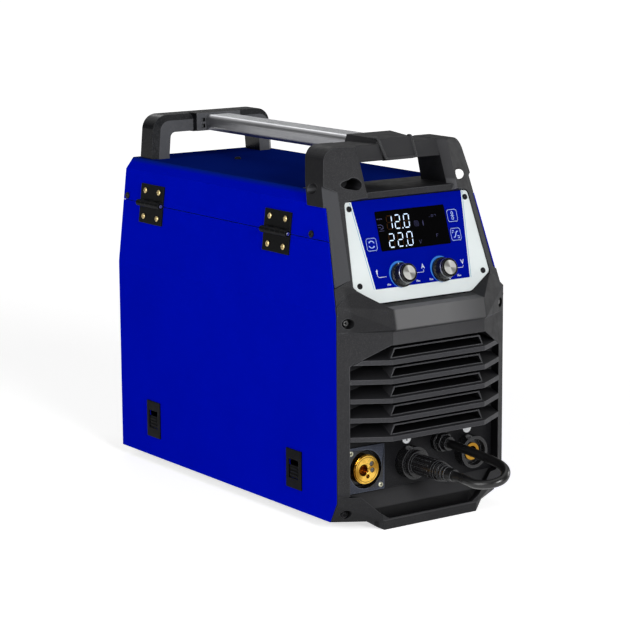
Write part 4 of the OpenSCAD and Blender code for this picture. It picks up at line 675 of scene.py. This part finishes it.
def brass():
    """Turned brass of the torch socket: dark grooves, and painted shade in two darker wedges on its face."""
    f = turned_metal("turned_brass", (0.88, 0.55, 0.10, 1), (0.42, 0.20, 0.02, 1), 0.20, TORCH_AXIS, "Y")
    f.ring(TORCH_AXIS, 1, 0.0147, 0.0009, 0.85, (0.20, 0.09, 0.01, 1))
    f.ring(TORCH_AXIS, 1, 0.0068, 0.0007, 0.5, (0.30, 0.15, 0.02, 1))
    # painted shade in two darker wedges on the face
    return f.wedges(TORCH_AXIS, (math.radians(90), 0, 0), math.radians(60), 0.85, (0.26, 0.12, 0.01, 1))


def lead_rubber():
    """Smooth jacket of the polarity lead."""
    f = Finish("smooth_lead_jacket", srgb(10, 10, 11), 0.3, level=0.55)
    f.clouds(0.02, 3.0, 0.4, 0.7, 0.4, srgb(16, 16, 17))
    f.worn(f.noise(0.012, 3.0), 0.26, 0.36)
    return f.relief(f.noise(0.004, 2.0), 6e-6)


def board_green():
    """Green circuit board: long tracks and bright solder points."""
    f = Finish("solder_mask", (0.010, 0.10, 0.035, 1), 0.3, coat=0.4)
    f.tint(f.span(f.cells(0.004, (1, 4, 1)), 0.45, 0.5, 0.0, 0.6), (0.03, 0.20, 0.07, 1))
    f.tint(f.span(f.cells(0.006), 0.16, 0.1, 0.0, 0.9), (0.55, 0.56, 0.55, 1))
    return f.relief(f.cells(0.006), 5e-5)


def core_steel():
    """Transformer core with the edges of its sheets."""
    f = coated_sheet("varnished_core", srgb(58, 56, 56), 0.35, 1e-5, srgb(110, 106, 100), srgb(40, 38, 38))
    return f.relief(f.noise(0.0008, 2.0, stretch=(60, 1, 60)), 8e-5)


def build_finishes():
    """Every finish, by the record's slot or the place it is for; one with a function
    of its own goes by the function's name."""
    own = (
        blue_paint, grey_sheet, dark_plastic, grille_plastic, recess_plastic, blue_film, blue_key, lcd_window,
        tube_aluminium, yellow_screw, pale_screw, well_screw, black_screw, brass, lead_rubber, board_green,
        core_steel)
    made = {build.__name__: build() for build in own}
    for slot, (name, colour, roughness, peel, edge, dark, *gloss) in COATS.items():
        made[slot] = coated_sheet(name, srgb(*colour), roughness, peel, srgb(*edge), srgb(*dark), *gloss)
    for slot, (name, colour, roughness, grain, depth, edge, *rest) in PLASTICS.items():
        made[slot] = moulded(name, srgb(*colour), roughness, grain, depth, srgb(*edge), *rest)
    for slot, (name, colour, roughness, dark, size, depth) in METALS.items():
        made[slot] = metal(name, colour, roughness, dark, size, depth=depth)
    # Painted light on the arch's front faces and painted shade on its left faces
    made["arch_plastic"].facing((0.0, -1.0, 0.0), 0.7, 0.95, 0.8, srgb(96, 97, 100))
    made["arch_plastic"].facing((-1.0, 0.0, 0.0), 0.72, 0.95, 0.85, srgb(6, 7, 10))
    return {slot: f.made for slot, f in made.items()}


finish = build_finishes()
ink_white = printed("white_print", srgb(225, 232, 245)).made
ink_pale = printed("pale_blue_print", srgb(176, 196, 240)).made


# ---------- polarity lead
LEAD = [
    (29, -254, 88), (29, -268, 88), (30, -300, 86), (30, -330, 84), (28, -350, 83), (23, -366, 81),
    (15, -377, 78), (6, -381, 74), (-3, -378, 71), (-10, -371, 69), (-15, -360, 68), (-16, -348, 69),
    (-16, -333, 70), (-16, -315, 70)]
LEAD_WIDTH = 10.5


def lay_lead():
    """Round jacket carried along the route from the gland into the plug's boot."""
    line = curve(np.array(LEAD) * MM, 8)
    points, faces = tube(line, LEAD_WIDTH * MM / 2, 28)
    jacket = piece("lead_jacket", points, faces, finish["lead_rubber"], "case")
    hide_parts("polarity_lead")


lay_lead()


# ---------- finishes on the solids
def dress(name, first, others=()):
    """Gives a solid its finish; each of others is (finish, test of its face centres),
    for the solids that share a node with it."""
    mesh = nodes[name].data
    mesh.materials.clear()
    mesh.materials.append(first)
    if not others:
        return
    centres = np.zeros(len(mesh.polygons) * 3)
    mesh.polygons.foreach_get("center", centres)
    centres = centres.reshape(-1, 3) / MM
    index = np.zeros(len(mesh.polygons), int)
    for k, (other, test) in enumerate(others):
        mesh.materials.append(other)
        index[test(centres)] = k + 1
    mesh.polygons.foreach_set("material_index", index)


def around(c, spots, radius):
    """Which face centres lie within radius of any (x, z) spot."""
    return np.any([np.hypot(c[:, 0] - x, c[:, 2] - z) < radius for x, z in spots], axis=0)


for row in frame["record"]["subparts"]:
    if row["node"] in nodes and row["material_slot"] in finish:
        dress(row["node"], finish[row["material_slot"]])

CAP_TOP = 17.4  # height of the knobs' caps over the panel's plane
dress("current_knob_cap", spun_cap("left_cap_face", tuple(PANEL.at((*LEFT_DIAL, CAP_TOP)))).made)
dress("voltage_knob_cap", spun_cap("right_cap_face", tuple(PANEL.at((*RIGHT_DIAL, CAP_TOP)))).made)
for name in ("fixed_hinge_leaves", "door_hinge_leaves"):
    dress(name, finish["hinge_paint"])
for name in ("latch_frames", "rear_latch_slider", "front_latch_slider"):
    dress(name, finish["latch_plastic"])
dress("louvre_grille", finish["grille_plastic"])
dress("socket_panel", finish["recess_plastic"])
dress("euro_flange", finish["flange_plastic"], [
    (finish["black_plastic"], lambda c: around(c, [TORCH], 25.5) & (c[:, 1] > -239.6)),
    (finish["pale_screw"], lambda c: around(c, FLANGE_SCREWS, 4))])
dress("euro_pins", finish["pin_steel"])
dress("plug_boot", finish["boot_rubber"])
dress("bezel_screws", finish["well_screw"])
dress("base_tray", finish["black_paint"], [(finish["black_rubber"], lambda c: c[:, 2] < 10.9)])
dress("rear_fittings", finish["brass"], [(finish["black_plastic"], lambda c: c[:, 2] > 180)])


# ---------- control panel
LETTERS = {
    "A": [[(0, 0), (0.42, 1), (0.84, 0)], [(0.17, 0.36), (0.67, 0.36)]],
    "V": [[(0, 1), (0.42, 0), (0.84, 1)]],
    "M": [[(0, 0), (0.08, 1), (0.45, 0.2), (0.82, 1), (0.9, 0)]],
    "i": [[(0.1, 0), (0.1, 0.62)], [(0.1, 0.84), (0.1, 0.98)]],
    "n": [[(0, 0), (0, 0.62)], [(0, 0.45), (0.24, 0.62), (0.46, 0.45), (0.46, 0)]],
    "a": [[(0.46, 0.62), (0.46, 0)], [(0.46, 0.5), (0.22, 0.62), (0, 0.32), (0.22, 0), (0.46, 0.14)]],
    "x": [[(0, 0), (0.46, 0.62)], [(0, 0.62), (0.46, 0)]],
}
WIDTHS = {"A": 0.84, "V": 0.84, "M": 0.9, "i": 0.2, "n": 0.46, "a": 0.46, "x": 0.46}


def letters(text, u, v, height, weight, base):
    """Stroke letters whose row is centred on u and stands on v."""
    gap = 0.24
    total = sum(WIDTHS[t] for t in text) + gap * (len(text) - 1)
    at, parts = -total / 2, []
    for t in text:
        for line in LETTERS[t]:
            path = np.array([(u + (at + x) * height, v + y * height) for x, y in line])
            parts.append(stroke(path, weight, base, 0.06))
        at += WIDTHS[t] + gap
    return parts


SEGMENTS = {
    "a": (0, 1, 1, 1), "b": (1, 1, 1, 0.5), "c": (1, 0.5, 1, 0), "d": (0, 0, 1, 0),
    "e": (0, 0.5, 0, 0), "f": (0, 1, 0, 0.5), "g": (0, 0.5, 1, 0.5)}
LIT = {"0": "abcdef", "1": "bc", "2": "abged"}
GLASS = 0.70  # height of the display's pane over the panel's plane
FILM = 0.5  # height of the blue film over the same plane
THICK = 0.05  # thickness of a printed mark


def segment(u, v, width, height, key):
    """One bar of a digit: a slim hexagon between two corners of the figure 8, leaned
    to the right with its height."""
    x0, y0, x1, y1 = SEGMENTS[key]
    ends = np.array([(x0 * width, y0 * height), (x1 * width, y1 * height)], float)
    way = unit(ends[1] - ends[0])
    reach = np.linalg.norm(ends[1] - ends[0])
    tip = 0.10 if reach < 8.1 else 0.09
    t = np.array([tip, tip + 0.09, 0.91 - tip, 1 - tip])[:, None]
    path = ends[0] + way * reach * t
    path[:, 0] += path[:, 1] * 0.06
    return stroke(path + (u, v), np.array([0.25, 1.2, 1.2, 0.25]), GLASS, THICK)


def on_glass(name, parts, ink):
    """Marks laid on the display's pane."""
    marks(name, parts, PANEL, ink.made, "case")


def digits():
    """Two rows of three digits with a point, lit bars and unlit ones."""
    lit, unlit = [], []
    upper = ("120", (-36.3, -24.6, -11.4), 83.4, 7.2)
    lower = ("220", (-37.8, -25.2, -11.4), 62.2, 7.4)
    for text, places, v, width in (upper, lower):
        for sign, u in zip(text, places):
            for key in SEGMENTS:
                (lit if key in LIT[sign] else unlit).append(segment(u, v, width, 15.6, key))
        dot = np.array([(-14.9, v - 0.2), (-14.6, v - 0.2), (-13.7, v - 0.2), (-13.4, v - 0.2)])
        lit.append(stroke(dot, np.array([0.9, 1.5, 1.5, 0.9]), GLASS, THICK))
    bright = printed("lit_bars", srgb(206, 224, 250), glow=0.45, speck=0.06, level=0.02)
    on_glass("display_digits", lit, bright)
    on_glass("display_unlit_bars", unlit, printed("unlit_bars", srgb(50, 30, 12), speck=0.3, level=0.0))


def faint_symbols():
    """Unlit signs left and right of the digits: open lines, closed ones and a letter."""
    lines = [
        ([(-49.4, 96.2), (-46.8, 96.2)], 1.5), ([(-45.9, 96.2), (-44.6, 96.2)], 1.5),
        ([(-43.8, 96.2), (-41.9, 96.2)], 1.5),
        ([(-49.6, 89.4), (-45.4, 89.6), (-42.6, 87.8), (-42.6, 85.2), (-46.2, 84.2)], 1.0),
        ([(-49.4, 86.6), (-45.6, 86.4)], 0.9), ([(-49.0, 82.4), (-41.8, 82.2)], 0.7),
        *(([(4.2, v), (8.2, v)], 0.4) for v in (85.0, 86.1, 87.2, 88.3)),
        ([(15.9, 83.0), (15.9, 87.4), (15.9, 89.6)], np.array([1.0, 1.6, 0.3])),
        ([(26.2, 92.6), (26.9, 92.6)], 0.7), ([(34.0, 94.6), (36.4, 94.6), (36.4, 92.7)], 0.5),
        ([(32.0, 67.8), (32.0, 71.6), (34.8, 71.6)], 0.55), ([(32.2, 69.9), (34.2, 69.9)], 0.5)]
    faint = [stroke(path, width, GLASS, THICK) for path, width in lines]
    faint.append(stroke(rounded(6.2, 86.6, 2.9, 3.0, 1.0), 0.45, GLASS, THICK, closed=True))
    faint.append(stroke(rounded(31.0, 93.6, 1.3, 1.0, 0.6), 0.5, GLASS, THICK, closed=True))
    faint += letters("V", 7.0, 62.8, 4.4, 0.55, GLASS)
    on_glass("display_symbols", faint, printed("faint_symbols", srgb(62, 62, 92), speck=0.3, level=0.0))


digits()
faint_symbols()


def panel_print():
    """Leader lines, dial letters, limits, side lines and the small torch sign."""
    lines = [
        ([(-9.5, 29.3), (3.3, 29.3), (3.6, 32.0)], 0.45), ([(52.0, 28.9), (61.2, 28.9), (63.2, 31.0)], 0.45),
        ([(-50.9, 29.3), (-61.6, 29.3), (-63.3, 31.6), (-63.3, 33.0)], 0.45),
        ([(-63.3, 33.2), (-63.3, 35.2), (-62.9, 38.8)], np.array([1.3, 1.7, 0.9])),
        ([(-64.8, 36.6), (-61.6, 36.9)], 0.55)]
    white = [stroke(path, width, FILM, THICK) for path, width in lines]
    white += letters("A", 3.4, 33.4, 5.0, 0.85, FILM) + letters("V", 62.2, 33.2, 5.0, 0.85, FILM)
    for u in (-49.3, 12.1):
        white += letters("Min", u, 18.6, 2.3, 0.42, FILM)
    for u in (-7.0, 53.9):
        white += letters("Max", u, 18.8, 2.3, 0.42, FILM)
    marks("panel_print", white, PANEL, ink_white, "case")
    sides = [stroke([(s * 71.2, 16.0), (s * 82.6, 119.0)], 0.8, 0.0, THICK) for s in (-1, 1)]
    pale_blue = printed("light_blue_print", srgb(142, 186, 214)).made
    marks("plate_side_lines", sides, PANEL, pale_blue, "case")


panel_print()


def dial_ring(name, u, v):
    """Crescent printed round a dial: its width is 0.35 + 2 cos(0.78 (angle - 128))^1.5
    mm, with angles in degrees, widest at the upper left."""
    angle = np.linspace(58, 262, 60)
    a = np.radians(angle)
    width = 0.35 + 2.0 * np.clip(np.cos(np.radians(angle - 128) * 0.78), 0, 1) ** 1.5
    path = np.stack([u + (14.7 + width / 2) * np.cos(a), v + (14.7 + width / 2) * np.sin(a)], -1)
    ring = Finish(name + "_print", srgb(58, 134, 222), 0.38)
    ring.clouds(0.012, 2.0, 0.35, 0.65, 0.7, srgb(40, 120, 215))
    ring.relief(ring.noise(0.0004, 2.0), 3e-6)
    marks(name, [stroke(path, width, FILM, 0.06)], PANEL, ring.made, "case")


dial_ring("left_dial_ring", *LEFT_DIAL)
dial_ring("right_dial_ring", *RIGHT_DIAL)


def pointer(side, u, v, turn, body):
    """Painted line on the knob's rim and a dot on its skirt, both turned clockwise
    from straight up, and the bright ring let into the grip: a band whose profile is
    turned about the shaft."""
    a = math.radians(90 - turn)
    way = np.array([math.cos(a), math.sin(a)])
    rim = np.array([(u, v) + way * r for r in (9.2, 10.0, 10.9)])
    skirt = np.array([(u, v) + way * r for r in (13.1, 13.8, 14.4)])
    lines = [stroke(rim, 1.25, 16.55, 0.18), stroke(skirt, 1.4, 3.95, 0.12)]
    marks(side + "_pointer_line", lines, PANEL, ink_white, body)
    band = np.array([(10.6, 12.2), (11.55, 12.2), (11.75, 12.6), (11.6, 13.6), (11.4, 13.9), (10.6, 13.9)])
    points, faces = turned(np.vstack([band, band[:1]]) * MM, PANEL.at((u, v, 0.0)), PANEL.out, 72)
    piece(side + "_grip_ring", points, faces, finish["bright_steel"], body)


pointer("left", *LEFT_DIAL, -13, "current_dial")
pointer("right", *RIGHT_DIAL, 150, "voltage_dial")


def key_marks(name, u, v, body, parts):
    """Pale frame and sign printed on a key; they sink with it."""
    base = 1.1
    frame_line = [stroke(rounded(u, v, 7.15, 7.15, 2.7), 0.55, base, 0.04, closed=True)]
    lines = [stroke(np.asarray(path, float) + (u, v), width, base, 0.04) for path, width in parts]
    marks(name, frame_line + lines, PANEL, ink_pale, body)


def arrow_arc(start, end):
    """Arc of a turning arrow, thick in its middle and flared at its head."""
    head = (arc(0, 0, 4.0, end, end + 24, 3), np.array([2.6, 1.5, 0.2]))
    return [(arc(0, 0, 4.0, start, end, 18), np.full(18, 1.0)), head]


key_marks("process_key_marks", -63.5, 68.0, "process_button", arrow_arc(20, 130) + arrow_arc(200, 310))
key_marks("gas_key_marks", 60.3, 91.0, "gas_button", [
    (arc(0, 3.0, 1.5, 0, 360, 20), 0.7), (arc(0, -3.0, 1.5, 0, 360, 20), 0.7), ([(0, 1.5), (0, -1.5)], 0.8),
    ([(-2.6, 0), (2.6, 0)], 0.6), ([(0, 4.5), (0, 5.4)], 0.6), ([(0, -4.5), (0, -5.4)], 0.6)])
key_marks("trigger_key_marks", 60.3, 68.5, "trigger_button", [
    ([(-3.6, -3.4), (-1.8, -3.3), (-0.4, -1.2), (0.4, 1.2), (1.8, 3.2), (3.6, 3.3)], 1.15),
    ([(-4.8, 4.6), (-2.2, 4.6)], 0.8), ([(-4.6, 3.4), (-4.6, 1.6)], 0.9), ([(-3.0, 2.8), (-2.2, 2.8)], 0.7),
    ([(2.0, -2.2), (4.8, -2.2)], 0.8), ([(2.4, -4.6), (4.8, -4.6), (4.8, -3.2)], 0.8)])


# ---------- socket signs
def polarity_sign(name, u, v, bars):
    """White disc with a dark sign above a current socket: its profile is turned about
    the disc's middle."""
    disc = [(0.0, 0.35), (5.9, 0.35), (6.4, 0.1), (6.4, 0.0), (0.0, 0.0)]
    points, faces = turned(np.array(disc) * MM, SOCKETS.at((u, v, 0.0)), SOCKETS.out, 48)
    # The white disc glows a little: painted light
    white = printed(name + "_white", srgb(244, 246, 248), glow=0.12).made
    piece(name + "_disc", points, faces, white, "case")
    lines = [stroke(np.array(path) + (u, v), 1.5, 0.35, 0.06) for path in bars]
    dark = printed(name + "_dark", srgb(24, 26, 30)).made
    marks(name + "_sign", lines, SOCKETS, dark, "case")


polarity_sign("plus", -18.0, 97.6, [[(-3.2, 0), (3.2, 0)], [(0, -3.2), (0, 3.2)]])
polarity_sign("minus", 73.0, 97.6, [[(-3.2, 0), (3.2, 0)]])


def round_off(corners, radius, steps=5):
    """Closed path along a polygon whose corners are rounded: each corner gets points
    of the quadratic curve between the two places that lie radius away from it."""
    path = []
    corners = np.array(corners, float)
    for before, here, after in zip(np.roll(corners, 1, axis=0), corners, np.roll(corners, -1, axis=0)):
        a, b = here + unit(before - here) * radius, here + unit(after - here) * radius
        for t in np.linspace(0, 1, steps):
            path.append((1 - t) ** 2 * a + 2 * t * (1 - t) * here + t * t * b)
    return np.array(path)


def plate_seal():
    """Painted shadow: a thin dark strip in the joint round the control plate, for the gap and the shade in
    it.
    """
    corners = [(-68.4, -0.8), (68.4, -0.8), (100.9, 19.7), (90.6, 120.3), (-90.6, 120.3), (-100.9, 19.7)]
    line = stroke(round_off(corners, 4.5), 1.4, 0.03, 0.12, closed=True)
    marks("plate_seal", [line], PANEL, finish["latch_plastic"], "case")


plate_seal()


def hood_ribs():
    """Raised rim round the front face of the hood: one rounded rib that runs down
    both sides and along the lower edge."""
    right = [
        (25.2, -182.0, 446.6), (24.3, -188.4, 446.1), (23.5, -193.0, 438.6), (22.8, -197.4, 431.4),
        (21.9, -201.0, 425.4), (19.0, -201.9, 423.9)]
    route = [(-x, y, z) for x, y, z in right] + right[::-1]
    points, faces = tube(curve(np.array(route) * MM, 4), 0.0016, 12)
    piece("hood_rib", points, faces, finish["rib_plastic"], "case")


hood_ribs()


def pin_rings():
    """Dark insulating ring about each signal pin on the torch socket's face."""
    spots = [(TORCH[0] + u, TORCH[1] + v) for u, v in ((6.6, 6.3), (7.6, -1.6))]
    rings = [stroke(arc(*spot, 2.65, 0, 345, 24), 0.75, 4.78, THICK, closed=True) for spot in spots]
    marks("pin_insulators", rings, SOCKETS, finish["black_plastic"], "case")


pin_rings()


# ---------- wound wire
def wind_wire():
    """Top layer of the winding: over each turn of one pitch the radius rises by 0.4 mm
    times |sin|^0.7 of the turn's angle, and inside it the winding is a plain cylinder."""
    pitch, inner = 0.8, 52.0
    middle = (0, 0.095, 0.187)
    low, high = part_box("wire_winding")
    x0, x1 = low.x / MM, high.x / MM
    turns = int((x1 - x0 - pitch / 2) / pitch)
    x = np.linspace(x0 + 0.2, x0 + 0.2 + turns * pitch, turns * 5 + 1)
    radius = (high.y - middle[1]) / MM - 0.45 + 0.4 * np.abs(np.sin((x - x[0]) * np.pi / pitch)) ** 0.7
    profile = [(inner, x0)] + list(zip(radius, x)) + [(inner, x1), (inner, x0)]
    points, faces = turned(np.array(profile) * MM, middle, (1, 0, 0), 120)
    coil = piece("wound_wire", points, faces, finish["coppered_wire"], "spool", crease=60)
    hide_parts("wire_winding")


wind_wire()


# ---------- light and floor
def lamp(name, where, target, size, power):
    """Large soft panel lamp aimed at a point."""
    light = bpy.data.lights.new(name, "AREA")
    light.shape, light.size, light.energy = "DISK", size, power
    made = added(name, light)
    made.location = where
    made.rotation_euler = (Vector(target) - Vector(where)).to_track_quat("-Z", "Y").to_euler()


lamp("side_lamp", (-3.0, -0.3, 1.3), (0, 0, 0.2), 1.9, 45)
lamp("front_lamp", (-0.5, -3.3, 1.3), (0, -0.2, 0.2), 1.2, 72)
lamp("right_lamp", (3.0, -0.5, 1.2), (0, 0, 0.2), 1.6, 26)
lamp("back_lamp", (1.2, 2.6, 2.2), (0, 0, 0.4), 1.4, 8)


def seen_plainly(f):
    """1 for rays from the camera, off gloss or through glass."""
    path = f.node("ShaderNodeLightPath").outputs
    seen = f.math("MAXIMUM", path["Is Camera Ray"], path["Is Glossy Ray"])
    return f.math("MAXIMUM", seen, path["Is Transmission Ray"])


def surround():
    """Pale world: white where it is seen straight or through glass, and off gloss a
    bright upper far side that falls to a dim near side."""
    world = bpy.data.worlds.new("studio")
    bpy.context.scene.world = world
    world.use_nodes = True
    tree = world.node_tree
    tree.nodes.clear()
    add, link = tree.nodes.new, tree.links.new
    out, path = add("ShaderNodeOutputWorld"), add("ShaderNodeLightPath")
    way = add("ShaderNodeTexCoord")
    lean = add("ShaderNodeVectorMath")
    lean.operation = "DOT_PRODUCT"
    link(way.outputs["Generated"], lean.inputs[0])
    lean.inputs[1].default_value = (0.0, 0.30, 0.95)
    far = add("ShaderNodeMapRange")
    far.interpolation_type = "SMOOTHSTEP"
    link(lean.outputs["Value"], far.inputs["Value"])
    for key, value in (("From Min", 0.45), ("From Max", 0.95), ("To Min", 0.10), ("To Max", 0.90)):
        far.inputs[key].default_value = value
    last = None
    glossy = (far.outputs[0], "Is Glossy Ray")
    for strength, ray in ((0.10, None), glossy, (1.0, "Is Transmission Ray"), (1.0, "Is Camera Ray")):
        light = add("ShaderNodeBackground")
        light.inputs[0].default_value = (1, 1, 1, 1)
        if isinstance(strength, float):
            light.inputs[1].default_value = strength
        else:
            link(strength, light.inputs[1])
        if ray:
            mix = add("ShaderNodeMixShader")
            link(path.outputs[ray], mix.inputs[0])
            link(last, mix.inputs[1])
            link(light.outputs[0], mix.inputs[2])
            last = mix.outputs[0]
        else:
            last = light.outputs[0]
    link(last, out.inputs[0])


surround()


def lay_floor():
    """Level square at z = 0, pale with a faint grain; seen rays get a little white on
    top so that only the shadow shows."""
    half = 14.0
    grid = [(x, y, 0.0) for x in (-half, half) for y in (-half, half)]
    mesh = bpy.data.meshes.new("floor")
    mesh.from_pydata(grid, [], [[0, 2, 3, 1]])
    made = added("floor", mesh)
    f = Finish("pale_floor", (0.84, 0.84, 0.84, 1), 0.85, level=0.1)
    f.clouds(0.4, 3.0, 0.3, 0.7, 0.15, (0.80, 0.80, 0.80, 1))
    rise = f.span(f.vector("LENGTH", f.place), 0.9, 4.0, 0.64, 0.95)
    glow = f.node("ShaderNodeEmission")
    f.link(f.math("MULTIPLY", rise, seen_plainly(f)), glow.inputs["Strength"])
    both = f.node("ShaderNodeAddShader")
    f.link(f.shader.outputs[0], both.inputs[0])
    f.link(glow.outputs[0], both.inputs[1])
    f.link(both.outputs[0], f.out)
    mesh.materials.append(f.made)


lay_floor()

bpy.context.scene.view_settings.view_transform = "Standard"
